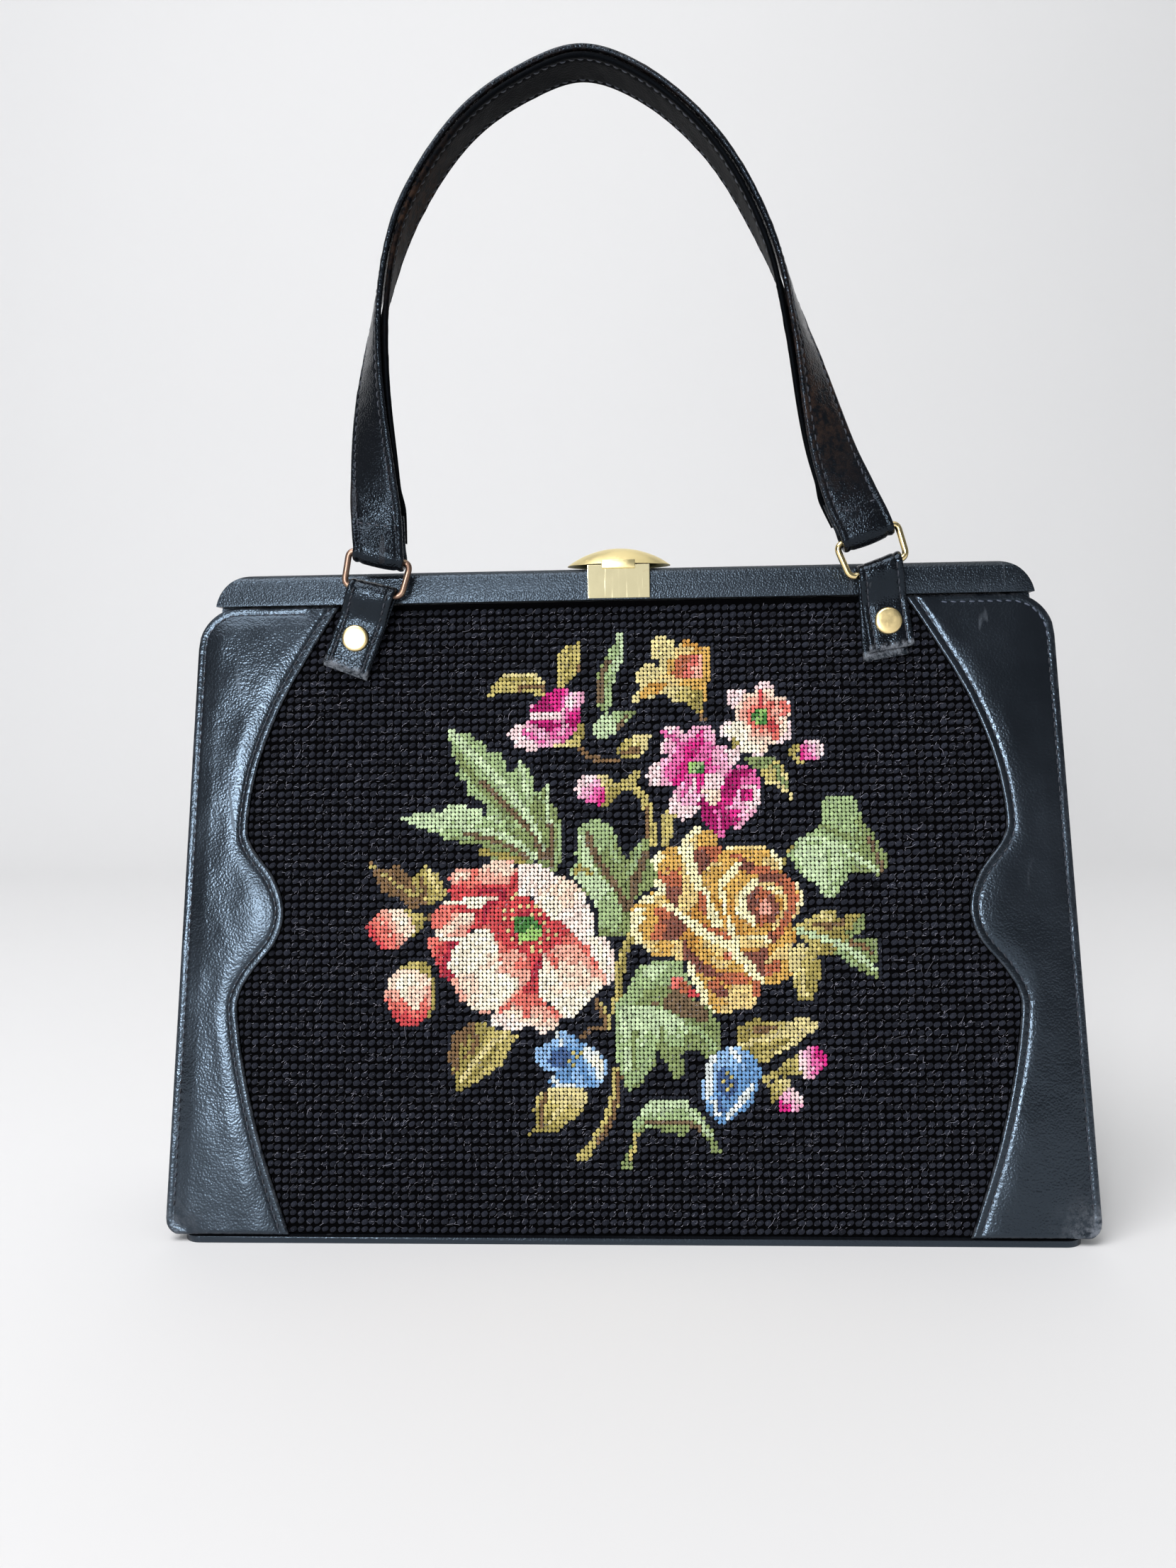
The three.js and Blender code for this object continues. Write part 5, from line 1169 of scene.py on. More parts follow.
class HANDBAG_OT_back(bpy.types.Operator):
    """Plain leather back with its outer seam"""

    bl_idname = "handbag.back"
    bl_label = "Leather back"

    def execute(self, context):
        size, look = context.scene.handbag_sizes, context.scene.handbag_looks
        inset, pitch = size.seam_inset * 1000, size.seam_pitch * 1000

        def back_depth(x, z):
            outer, along = distance_to_line(np.abs(x), z, OUTLINE)
            rise = 0.4 * smooth((outer - inset) / 5) * (1 - smooth((outer - 6) / 20))
            rise = rise - 0.3 * groove(outer - inset, 0.6) + 0.15 * uneven(x, z, 24, 8)
            return wall_half_depth(x, z) + rise

        rows = wall_rows(110)

        def columns_at(z):
            return near_edges(-wall_half_width(z), wall_half_width(z), 80)

        points, faces, edge = wall_shell(rows, columns_at, back_depth, LEATHER_THICKNESS)
        wear = np.concatenate([np.exp(-(edge.ravel() / 0.7) ** 2) * 0.5] * 2)
        piece = new_piece("back_leather", points * (1, -1, 1), faces, wear=wear, weld=0.002)
        dress(piece, leather_of("body"), "body_leather", "back_panel")
        outline = offset_line(OUTLINE[4:], -inset)
        groups = [seam_stitches(outline, back_depth, side, pitch, front=1) for side in (-1, 1)]
        dress(sewn("back_seams", groups, look.seam), seam_thread(), "body_leather")
        return {"FINISHED"}


def gusset_section(z, steps):
    """Middle line of a folded end at one height, from its front flange to its rear one."""
    share = (height_share(z) - GUSSET_NECK_START) / (GUSSET_NECK_END - GUSSET_NECK_START)
    inside_legs = FRAME_HALF_WIDTH - LEG_WIDTH - 2 * SEAM_GAP - GUSSET_THICKNESS / 2
    reach = lerp(wall_half_width(z) - GUSSET_INSET, inside_legs, smooth(share))
    behind = LEATHER_THICKNESS + SEAM_GAP + GUSSET_THICKNESS / 2
    fold = GUSSET_FOLD * height_share(z)
    depth = wall_half_depth(reach, z) - behind
    flange = wall_half_depth(reach - GUSSET_FLANGE, z) - behind
    turn = math.pi * np.linspace(-1, 1, steps)
    y = depth * np.linspace(-1, 1, steps)
    x = reach - fold * (1 + np.cos(turn)) / 2
    lead = np.linspace(0, 1, 5)[:-1]
    front = np.stack([lerp(reach - GUSSET_FLANGE, reach, lead), -lerp(flange, depth, lead)], 1)
    back = front[::-1] * (1, -1)
    return np.concatenate([front, np.stack([x, y], 1), back])


class HANDBAG_OT_ends(bpy.types.Operator):
    """Folded leather ends and the base"""

    bl_idname = "handbag.ends"
    bl_label = "Folded ends and base"

    def execute(self, context):
        top = WALL_TOP - GUSSET_TOP_DROP
        heights = np.concatenate([WALL_FOOT + np.array([0, 0.7, 1.6, 3, 5]),
                                  np.linspace(WALL_FOOT + 8, top, 60)])
        skins = []
        for sign in (1, -1):
            rows = []
            for z in heights:
                line = gusset_section(z, 41)
                along = unit(np.gradient(line, axis=0))
                moved = line + np.stack([along[:, 1], -along[:, 0]], 1) * sign * GUSSET_THICKNESS / 2
                rows.append(np.column_stack([moved, np.full(len(moved), z)]))
            skins.append(np.array(rows))
        rows, columns = skins[0].shape[:2]
        points = np.concatenate([skin.reshape(-1, 3) for skin in skins])
        faces = grid_faces(rows, columns)
        rim = np.concatenate([np.arange(columns), np.arange(1, rows) * columns + columns - 1,
                              (rows - 1) * columns + np.arange(columns - 1)[::-1],
                              np.arange(1, rows - 1)[::-1] * columns])
        half = rows * columns
        band = np.stack([rim, np.roll(rim, -1), np.roll(rim, -1) + half, rim + half], 1)
        all_faces = np.concatenate([faces, faces[:, ::-1] + half, band[:, ::-1]])
        for side, name in ((-1, "left"), (1, "right")):
            piece = new_piece(f"end_leather_{name}", points * (side, 1, 1), all_faces, weld=0.001)
            dress(piece, leather_of("body"), "body_leather", f"gusset_{name}")
        base = softened_copy("base_panel", "base_leather", 0.6)
        dress(base, leather_of("body"), "body_leather", "base_panel")
        return {"FINISHED"}


class HANDBAG_OT_frame(bpy.types.Operator):
    """Leather-covered frame and its hinge pins"""

    bl_idname = "handbag.frame"
    bl_label = "Frame"

    def execute(self, context):
        for node in ("frame_front", "frame_back"):
            dress(softened_copy(node, f"{node}_leather", 0.9), leather_of("frame"), "frame_leather", node)
        for name in ("left", "right"):
            pin = softened_copy(f"frame_pin_{name}", f"hinge_pin_{name}", 0.2)
            steel = shared("pin steel", lambda word: metal(word, PIN_STEEL, DULL_STEEL, 0.3, 0.4))
            dress(pin, steel, "pin_steel", f"frame_pin_{name}")
        return {"FINISHED"}


class HANDBAG_OT_clasp(bpy.types.Operator):
    """Brass clasp: plate, bracket, pin and domed lever"""

    bl_idname = "handbag.clasp"
    bl_label = "Clasp"

    def execute(self, context):
        for node, edge, brass in (("clasp_plate", 0.2, "pale brass"),
                                  ("clasp_bracket", 0.25, "polished brass"),
                                  ("clasp_pin", 0.12, "polished brass")):
            dress(softened_copy(node, f"{node}_brass", edge), metal_of(brass), "clasp_brass", node)
        tongue_back = FRAME_FRONT - 2 * SEAM_GAP - PLATE_THICKNESS
        tongue_front = tongue_back - TONGUE_THICKNESS
        middle = (tongue_front + tongue_back) / 2 + CAP_HALF_DEPTH
        ball = (CAP_HALF_WIDTH ** 2 + CAP_HEIGHT ** 2) / (2 * CAP_HEIGHT)

        def arc(radius, steps):
            widest = math.acos((ball - CAP_HEIGHT) / radius)
            angles = np.linspace(0, widest, steps)
            return [(radius * math.sin(a), radius * math.cos(a) - ball + CAP_HEIGHT) for a in angles]

        rim = [(CAP_HALF_WIDTH - 0.05, -0.12), (CAP_HALF_WIDTH - 0.35, -0.16)]
        dome, dome_faces = turned(arc(ball, 22) + rim + arc(ball - CAP_WALL, 12)[::-1], 88)
        dome = dome * (1, CAP_HALF_DEPTH / CAP_HALF_WIDTH, 1) + (0, middle, CAP_RIM)
        tongue = box_points((-TONGUE_WIDTH / 2, tongue_front, CAP_RIM - TONGUE_DROP),
                            (TONGUE_WIDTH / 2, tongue_back, CAP_RIM + CAP_WALL), 0.18)
        neck = box_points((-BARREL_HALF_LENGTH, middle + CAP_HALF_DEPTH * NECK_START,
                           CLASP_AXIS_HEIGHT - CAP_WALL / 2),
                          (BARREL_HALF_LENGTH, CLASP_AXIS_SETBACK, CLASP_AXIS_HEIGHT + CAP_WALL / 2), 0.2)
        end = BARREL_HALF_LENGTH
        profile = [(0.9, -end), (1.6, -end), (BARREL_RADIUS, -end + 0.25),
                   (BARREL_RADIUS, end - 0.25), (1.6, end), (0.9, end), (0.9, -end)]
        barrel, barrel_faces = turned(profile, 32)
        barrel = barrel[:, [2, 0, 1]] + (0, CLASP_AXIS_SETBACK, CLASP_AXIS_HEIGHT)
        points, faces = together((dome, dome_faces), tongue, neck, (barrel, barrel_faces))
        lever = new_piece("clasp_lever_brass", points, faces, "clasp_lever", weld=0.001)
        lever.data.set_sharp_from_angle(angle=math.radians(40))
        dress(lever, metal_of("cap brass"), "clasp_brass", "clasp_lever")
        return {"FINISHED"}


# Tabs, rings and handle

def turn_x(angle):
    c, s = math.cos(angle), math.sin(angle)
    return np.array([(1, 0, 0), (0, c, -s), (0, s, c)])


def turn_y(angle):
    c, s = math.cos(angle), math.sin(angle)
    return np.array([(c, 0, s), (0, 1, 0), (-s, 0, c)])


def in_tab(tab, across, forward, up):
    """A point in the tab's own axes, whose origin is the rivet on its rear face."""
    lean = math.radians(TAB_LEAN)
    height = BAR_FOOT - RIVET_BELOW_BAR + tab["rise"]
    rear = FRAME_FRONT - SEAM_GAP - (BAR_TOP - height) * math.tan(lean)
    turn = turn_y(math.radians(tab["slant"])) @ turn_x(-lean)
    return turn @ np.array([across, -forward, up]) + (tab["side"] * TAB_SPREAD, rear, height)


def slanted_across(degrees):
    angle = math.radians(degrees)
    return np.array([math.cos(angle), 0, -math.sin(angle)])


def ring_up(tab):
    angle = math.radians(tab["ring_slant"])
    return np.array([math.sin(angle), 0, math.cos(angle)])


def ring_foot(tab):
    middle = in_tab(tab, 0, LOOP_RADIUS + TAB_THICKNESS, tab["loop"])
    return middle + ring_up(tab) * (LOOP_RADIUS - RING_WIRE - SEAM_GAP)


def strap_loop_centre(tab):
    return ring_foot(tab) + ring_up(tab) * (RING_BARS + LOOP_RADIUS - RING_WIRE - SEAM_GAP)


def tab_stations(tab):
    """Middle points and half widths of a tab, up behind its ring, over it and down in front."""
    rear = TAB_THICKNESS / 2
    front = TAB_THICKNESS * 1.5 + SEAM_GAP
    loop = LOOP_RADIUS + TAB_THICKNESS / 2
    points, across, parts = [], [], []

    def add(forward, up, shift, part):
        share = smooth(up / tab["loop"])
        points.append(in_tab(tab, shift, forward, up))
        across.append(slanted_across(lerp(tab["slant"], tab["ring_slant"], share)) * tab["width"] / 2)
        parts.append(part)

    for share in np.linspace(0, 1, 18)[:-1]:
        up = lerp(-tab["rear_end"], tab["loop"], share)
        creep = tab["shift"] * (1 - smooth((up + tab["rear_end"]) / (tab["loop"] + tab["rear_end"])))
        add(rear, up, creep, "rear")
    for angle in np.linspace(math.pi, 0, 16):
        add(rear + loop + loop * math.cos(angle), tab["loop"] + loop * math.sin(angle), 0, "loop")
    for share in np.linspace(0, 1, 12)[1:]:
        up = lerp(tab["loop"], TAB_SETTLE, share)
        add(lerp(rear + 2 * loop, front, smooth(share)), up, 0, "front")
    for up in np.linspace(TAB_SETTLE, -tab["front_end"], 12)[1:]:
        add(front, up, 0, "front")
    return np.array(points), np.array(across), parts


def ribbon(points, across, thickness, relief, outward_sign=1.0):
    """A leather strip with rounded edges. relief(s, i) raises the outer face, where
    s runs across in millimetres and i counts the stations."""
    along = np.gradient(points, axis=0)
    normal = unit(np.cross(along, across)) * outward_sign
    half = np.linalg.norm(across, axis=1)
    side = across / half[:, None]
    radius = thickness / 2
    close = np.array([0, 0.04, 0.15, 0.35, radius, 1.3, 1.8, 2.2, 2.6, 3.2])
    rows = []
    for i in range(len(points)):
        middle = np.linspace(-half[i] + 4, half[i] - 4, 12)
        s = np.concatenate([-half[i] + close, middle, half[i] - close[::-1]])
        edge = np.minimum(s + half[i], half[i] - s)
        drop = edge_drop(edge, thickness)
        top = radius - drop + relief(s, i) * smooth(edge / 1.2)
        low = -radius + drop
        outer = points[i] + side[i] * s[:, None] + normal[i] * top[:, None]
        inner = points[i] + side[i] * s[1:-1, None] + normal[i] * low[1:-1, None]
        rows.append(np.concatenate([outer, inner[::-1]]))
    rows = np.array(rows)
    count = rows.shape[1]
    faces = grid_faces(len(rows), count, closed=True).tolist()
    faces.append(list(range(count))[::-1])
    faces.append([(len(rows) - 1) * count + i for i in range(count)])
    return rows.reshape(-1, 3), faces, normal, side, half


def stitches_on_strip(points, normal, side, half, thickness, inset, pitch, low, high, relief=0.0):
    """Stitch rows along both edges of a strip between two stations of its run."""
    step = np.linalg.norm(np.diff(points, axis=0), axis=1)
    reached = np.concatenate([[0], np.cumsum(step)])
    places = np.arange(reached[low], reached[high], pitch)

    def pick(values, at):
        return np.stack([np.interp(at, reached, values[:, k]) for k in range(3)], 1)

    def on_face(edge, at):
        across = edge * (np.interp(at, reached, half) - inset)
        return (pick(points, at) + unit(pick(side, at)) * across[:, None]
                + unit(pick(normal, at)) * (thickness / 2 + relief))

    groups = []
    for edge in (-1, 1):
        centres = on_face(edge, places)
        along = unit(on_face(edge, places + 0.3) - centres)
        groups.append((centres, along, unit(pick(normal, places))))
    return groups


def handle_curve():
    """Fine points of the handle's middle line, by a centripetal Catmull-Rom curve."""
    start, end = strap_loop_centre(TABS["left"]), strap_loop_centre(TABS["right"])
    depth = (start[1] + end[1]) / 2
    arch = [np.array([a * TAB_SPREAD, depth, start[2] + r * HANDLE_RISE]) for a, r in HANDLE_ARCH]
    knots = [start] + arch + [end]
    knots = [2 * knots[0] - knots[1]] + knots + [2 * knots[-1] - knots[-2]]
    line = []
    for a, b, c, d in zip(knots, knots[1:], knots[2:], knots[3:]):
        gap = [max(np.linalg.norm(v - u), 1e-9) ** 0.5 for u, v in ((a, b), (b, c), (c, d))]
        lead = ((b - a) / gap[0] - (c - a) / (gap[0] + gap[1]) + (c - b) / gap[1]) * gap[1]
        trail = ((c - b) / gap[1] - (d - b) / (gap[1] + gap[2]) + (d - c) / gap[2]) * gap[1]
        for t in np.linspace(0, 1, 80, endpoint=False):
            line.append(b + lead * t + (3 * (c - b) - 2 * lead - trail) * t ** 2
                        + (2 * (b - c) + lead + trail) * t ** 3)
    line.append(knots[-2])
    return np.array(line)


HANDLE_LINE = handle_curve()
HANDLE_REACHED = np.concatenate([[0], np.cumsum(np.linalg.norm(np.diff(HANDLE_LINE, axis=0), axis=1))])
HANDLE_LENGTH = HANDLE_REACHED[-1]


def handle_point(distance):
    return np.array([np.interp(distance, HANDLE_REACHED, HANDLE_LINE[:, k]) for k in range(3)])


def strap_axes(distance):
    """Point, outward face and width direction of the strap at a distance along it."""
    distance = min(max(distance, 0), HANDLE_LENGTH)
    point = handle_point(distance)
    along = unit(handle_point(min(distance + 0.5, HANDLE_LENGTH)) - handle_point(max(distance - 0.5, 0)))
    from_end = min(distance, HANDLE_LENGTH - distance)
    climbed = min(max(from_end / TWIST_LENGTH, 0), 1)
    turn = (math.pi / 2) * math.sin((math.pi / 2) * climbed ** TWIST_HASTE)
    face = np.array([0, -1, 0]) * math.cos(turn) + np.array([-along[2], 0, along[0]]) * math.sin(turn)
    square = unit(np.cross(along, face))
    first = distance < HANDLE_LENGTH / 2
    tab = TABS["left" if first else "right"]
    bar = slanted_across(tab["ring_slant"]) * (1 if first else -1)
    across = unit(lerp(bar, square, smooth(from_end / SQUARE_LENGTH)))
    return point, face, across


def strap_station(distance, forward):
    point, face, across = strap_axes(distance)
    return point + face * forward, across * STRAP_WIDTH / 2


def strap_end(at_start):
    """Stations of the strap's end: down behind the ring, under its bar and up in front."""
    middle = LAYER_GAP / 2 + STRAP_THICKNESS / 2
    loop = LOOP_RADIUS + STRAP_THICKNESS / 2
    found = []

    def place(distance):
        return distance if at_start else HANDLE_LENGTH - distance

    for s in np.linspace(0, 1, 8):
        found.append(strap_station(place(lerp(RETURN_LENGTH, RETURN_SETTLE, s)), -middle))
    for s in np.linspace(0, 1, 9)[1:-1]:
        found.append(strap_station(place(lerp(RETURN_SETTLE, 0, s)), -lerp(middle, loop, smooth(s))))
    point, face, across = strap_axes(place(0))
    up = ring_up(TABS["left" if at_start else "right"])
    for angle in np.linspace(math.pi, 2 * math.pi, 18):
        around = face * loop * math.cos(angle) + up * loop * math.sin(angle)
        found.append((point + around, across * STRAP_WIDTH / 2))
    for s in np.linspace(0, 1, 13)[1:]:
        found.append(strap_station(place(lerp(0, FRONT_SETTLE, s)), lerp(loop, middle, smooth(s))))
    return found


class HANDBAG_OT_tabs(bpy.types.Operator):
    """Leather tabs with their rivets and rings"""

    bl_idname = "handbag.tabs"
    bl_label = "Tabs, rivets and rings"

    def execute(self, context):
        look = context.scene.handbag_looks
        for name, tab in TABS.items():
            points, across, parts = tab_stations(tab)
            half = tab["width"] / 2
            seed = 11 if name == "left" else 17

            def relief(s, i):
                inset = half - TAB_SEAM_INSET
                line = -0.3 * (groove(s - inset, 0.45) + groove(s + inset, 0.45))
                return line + 0.12 * uneven(s, np.full_like(s, i * 1.3), 6, seed)

            shape, faces, normal, side, halves = ribbon(points, across, TAB_THICKNESS, relief)
            ends = np.zeros(len(points))
            ends[:2] = ends[-2:] = 1
            wear = np.repeat(ends, len(shape) // len(points)) * 0.9
            piece = new_piece(f"tab_leather_{name}", shape, faces, wear=wear, weld=0.001)
            dress(piece, leather_of("tab"), "handle_leather", f"tab_{name}")
            groups = stitches_on_strip(points, normal, side, halves, TAB_THICKNESS, TAB_SEAM_INSET,
                                       TAB_STITCH_PITCH, parts.index("front"), len(points) - 2, -0.25)
            dress(sewn(f"tab_stitches_{name}", groups, look.seam), seam_thread(), "handle_leather")
            self.add_rivet(name, tab)
            self.add_ring(name, tab)
        return {"FINISHED"}

    def add_rivet(self, name, tab):
        foot = 2 * TAB_THICKNESS + 2 * SEAM_GAP
        profile = [(r * RIVET_HEAD, foot + h * RIVET_HEAD_HEIGHT) for r, h in RIVET_DOME]
        profile += [(RIVET_SHANK, foot), (RIVET_SHANK, -RIVET_SHANK_LENGTH), (0.001, -RIVET_SHANK_LENGTH)]
        points, faces = turned(profile, 56)
        placed = np.array([in_tab(tab, x, z, y) for x, y, z in points])
        piece = new_piece(f"rivet_brass_{name}", placed, faces, weld=0.003)
        piece.data.set_sharp_from_angle(angle=math.radians(50))
        dress(piece, metal_of("satin brass"), "clasp_brass", f"rivet_{name}")

    def add_ring(self, name, tab):
        top, foot = RING_TOP_INNER / 2 + RING_WIRE, RING_FOOT_INNER / 2 + RING_WIRE
        corners = np.array([(-foot, 0), (foot, 0), (top, RING_BARS), (-top, RING_BARS)])
        path = []
        for i, corner in enumerate(corners):
            start = corner + unit(corners[i - 1] - corner) * RING_CORNER
            end = corner + unit(corners[(i + 1) % 4] - corner) * RING_CORNER
            for t in np.linspace(0, 1, 9):
                path.append(start * (1 - t) ** 2 + corner * 2 * t * (1 - t) + end * t ** 2)
            goal = corners[(i + 1) % 4] + unit(corner - corners[(i + 1) % 4]) * RING_CORNER
            path += [lerp(end, goal, t) for t in (0.25, 0.5, 0.75)]
        path = np.array(path)
        along = unit(np.roll(path, -1, 0) - np.roll(path, 1, 0))
        out = np.stack([along[:, 1], -along[:, 0]], 1)
        angles = np.linspace(0, 2 * math.pi, 14, endpoint=False)
        wire = []
        for point, direction in zip(path, out):
            for angle in angles:
                x, z = point + direction * RING_WIRE * math.cos(angle)
                wire.append((x, RING_WIRE * math.sin(angle), z))
        turn = turn_y(math.radians(tab["ring_slant"]))
        points = np.array(wire) @ turn.T + ring_foot(tab)
        points = np.concatenate([points, points[:len(angles)]])
        faces = grid_faces(len(path) + 1, len(angles), closed=True)
        piece = new_piece(f"ring_metal_{name}", points, faces, weld=0.001)
        if name == "left":
            dress(piece, metal_of("worn ring"), "worn_ring", "ring_left")
        else:
            dress(piece, metal_of("polished brass"), "clasp_brass", "ring_right")


class HANDBAG_OT_handle(bpy.types.Operator):
    """Two-layer leather handle with its stitches"""

    bl_idname = "handbag.handle"
    bl_label = "Handle"

    def execute(self, context):
        size, look = context.scene.handbag_sizes, context.scene.handbag_looks
        first, last = strap_end(True), strap_end(False)[::-1]
        middle = LAYER_GAP / 2 + STRAP_THICKNESS / 2
        places = np.linspace(FRONT_SETTLE, HANDLE_LENGTH - FRONT_SETTLE, 260)[1:-1]
        stations = first + [strap_station(d, middle) for d in places] + last
        points, across = (np.array([station[k] for station in stations]) for k in (0, 1))
        step = np.linalg.norm(np.diff(points, axis=0), axis=1)
        run = np.concatenate([[0], np.cumsum(step)])

        def relief(s, i):
            inset = STRAP_WIDTH / 2 - STRAP_SEAM_INSET
            lines = -0.28 * (groove(s - inset, 0.5) + groove(s + inset, 0.5))
            crown = 0.3 * np.clip(1 - (s / inset) ** 2, 0, 1)
            folds = 0.09 * uneven(s * 0.35, np.full_like(s, run[i]), 4.5, 21)
            return lines + crown + folds + 0.1 * uneven(s, np.full_like(s, run[i]), 14, 22)

        shape, faces, normal, side, half = ribbon(points, across, STRAP_THICKNESS, relief, -1.0)
        heights = shape[:, 2]
        rub = 0.15 * smooth((heights - 330) / 30)
        rub = rub + 0.5 * groove(shape[:, 0] - 62, 14) * groove(heights - 268, 30)
        piece = new_piece("handle_leather", shape, faces, wear=np.clip(rub, 0, 1), weld=0.001)
        dress(piece, leather_of("handle"), "handle_leather", "handle_strap")
        pitch = size.seam_pitch * 1000
        low = len(first) - 4
        groups = stitches_on_strip(points, normal, side, half, STRAP_THICKNESS, STRAP_SEAM_INSET,
                                   pitch, low, len(points) - low, -0.2)
        groups += self.end_rows(points, normal, side, low, len(points) - low, pitch)
        dress(sewn("handle_stitches", groups, look.seam), seam_thread(), "handle_leather")
        self.add_lining(size, look)
        return {"FINISHED"}

    def end_rows(self, points, normal, side, low, high, pitch):
        """A row of stitches across the strap at each end."""
        found = []
        for index in (low, high):
            s = np.arange(-(STRAP_WIDTH / 2 - 3.4), STRAP_WIDTH / 2 - 3, pitch * 0.93)
            face = points[index] + normal[index] * (STRAP_THICKNESS / 2 + 0.05)
            centres = face + side[index] * s[:, None]
            found.append((centres, np.tile(side[index], (len(s), 1)), np.tile(normal[index], (len(s), 1))))
        return found

    def add_lining(self, size, look):
        low_face = LAYER_GAP / 2 + LINING_THICKNESS / 2
        over = 1.5 * LAYER_GAP + STRAP_THICKNESS + LINING_THICKNESS / 2
        stations = []
        for distance in np.linspace(LINING_START, HANDLE_LENGTH - LINING_START, 270):
            from_end = min(distance, HANDLE_LENGTH - distance)
            flat = smooth((from_end - LINING_LEAVE) / (LINING_SETTLE - LINING_LEAVE))
            stations.append(strap_station(distance, -lerp(over, low_face, flat)))
        points, across = (np.array([station[k] for station in stations]) for k in (0, 1))
        run = np.linspace(0, HANDLE_LENGTH, len(points))

        def relief(s, i):
            inset = STRAP_WIDTH / 2 - STRAP_SEAM_INSET
            lines = -0.25 * (groove(s - inset, 0.5) + groove(s + inset, 0.5))
            return lines + 0.1 * uneven(s * 0.4, np.full_like(s, run[i]), 5, 31)

        shape, faces, normal, side, half = ribbon(points, across, LINING_THICKNESS, relief, 1.0)
        rub = 0.5 * groove(shape[:, 0] + 62, 16) * groove(shape[:, 2] - 322, 22)
        piece = new_piece("handle_lining_leather", shape, faces, wear=np.clip(rub, 0, 1), weld=0.001)
        dress(piece, leather_of("lining"), "handle_leather", "handle_lining")
        groups = stitches_on_strip(points, normal, side, half, LINING_THICKNESS, STRAP_SEAM_INSET,
                                   size.seam_pitch * 1000, 6, len(points) - 6, -0.2)
        dress(sewn("lining_stitches", groups, look.seam), seam_thread(), "handle_leather")


# Needlepoint

def daylight(colour):
    """A colour out of 255 as the share of light it throws back."""
    share = np.asarray(colour) / 255
    return np.where(share < 0.04045, share / 12.92, ((share + 0.055) / 1.055) ** 2.4)


def inside_outline(u, v, outline):
    found = np.zeros(u.shape, bool)
    for (u1, v1), (u2, v2) in zip(outline, np.roll(outline, -1, 0)):
        if v1 != v2:
            crossed = (v1 > v) != (v2 > v)
            found ^= crossed & (u < (u2 - u1) * (v - v1) / (v2 - v1) + u1)
    return found


def bouquet_chart(columns, rows, chance):
    """Thread colours of the bouquet's small stitches: (rows, columns, 3), nan where the ground is."""
    u, v = np.meshgrid(np.arange(columns) - columns / 2 + 0.5, np.arange(rows) + 0.5)
    chart = np.full((rows, columns, 3), np.nan)
    mixed = chance.uniform(-THREAD_MIXING, THREAD_MIXING, u.shape)
    for threads, lay, places in BOUQUET:
        tones = daylight([THREADS[name] for name in threads.split()]) ** THREAD_DEPTH
        outline = np.reshape(places, (-1, 2)) / 2
        if isinstance(lay, tuple):
            start = np.array(lay[:2]) / 2
            if len(lay) == 4:
                run = np.array(lay[2:]) / 2 - start
                share = ((u - start[0]) * run[0] + (v - start[1]) * run[1]) / (run @ run)
            else:
                share = np.hypot(u - start[0], v - start[1]) / (lay[2] / 2)
            tone = np.clip(np.floor(share * len(tones) + mixed), 0, len(tones) - 1).astype(int)
            patch = inside_outline(u, v, outline)
            chart[patch] = tones[tone[patch]]
        elif lay == 0:
            for place in outline:
                chart[int(place[1]), int(place[0] + columns / 2)] = tones[0]
        else:
            gap, _ = distance_to_line(u, v, outline)
            chart[gap < lay / 2] = tones[0]
    return chart


def wool_stitches(x, z, pitch, rise, slope, plump, chance, along_steps, across_steps):
    """Slanting stitches over one canvas crossing each, as arched strands."""
    t = np.sin(np.linspace(-1, 1, along_steps + 1) * math.pi / 2)
    s = np.sin(np.linspace(-1, 1, across_steps + 1) * math.pi / 2)
    t, s = (grid.ravel() for grid in np.meshgrid(t, s, indexing="ij"))
    count = len(x)
    slant = np.radians(slope + chance.normal(0, 4, count))[:, None]
    length = pitch * (0.27 + plump * 0.57) * (1 + chance.normal(0, 0.03, count))[:, None]
    width = pitch * plump * (1 + chance.normal(0, 0.06, count))[:, None]
    height = rise * (1 + chance.normal(0, 0.08, count))[:, None]
    run = length * t
    over = width * s * (1 - 0.5 * np.abs(t) ** 3)
    px = (x + chance.normal(0, 0.03 * pitch, count))[:, None] + run * np.cos(slant) - over * np.sin(slant)
    pz = (z + chance.normal(0, 0.03 * pitch, count))[:, None] + run * np.sin(slant) + over * np.cos(slant)
    up = height * ((1 - np.abs(t) ** 2.4) * np.sqrt(np.clip(1 - s ** 2, 0, 1))) - 0.1
    return px, pz, up


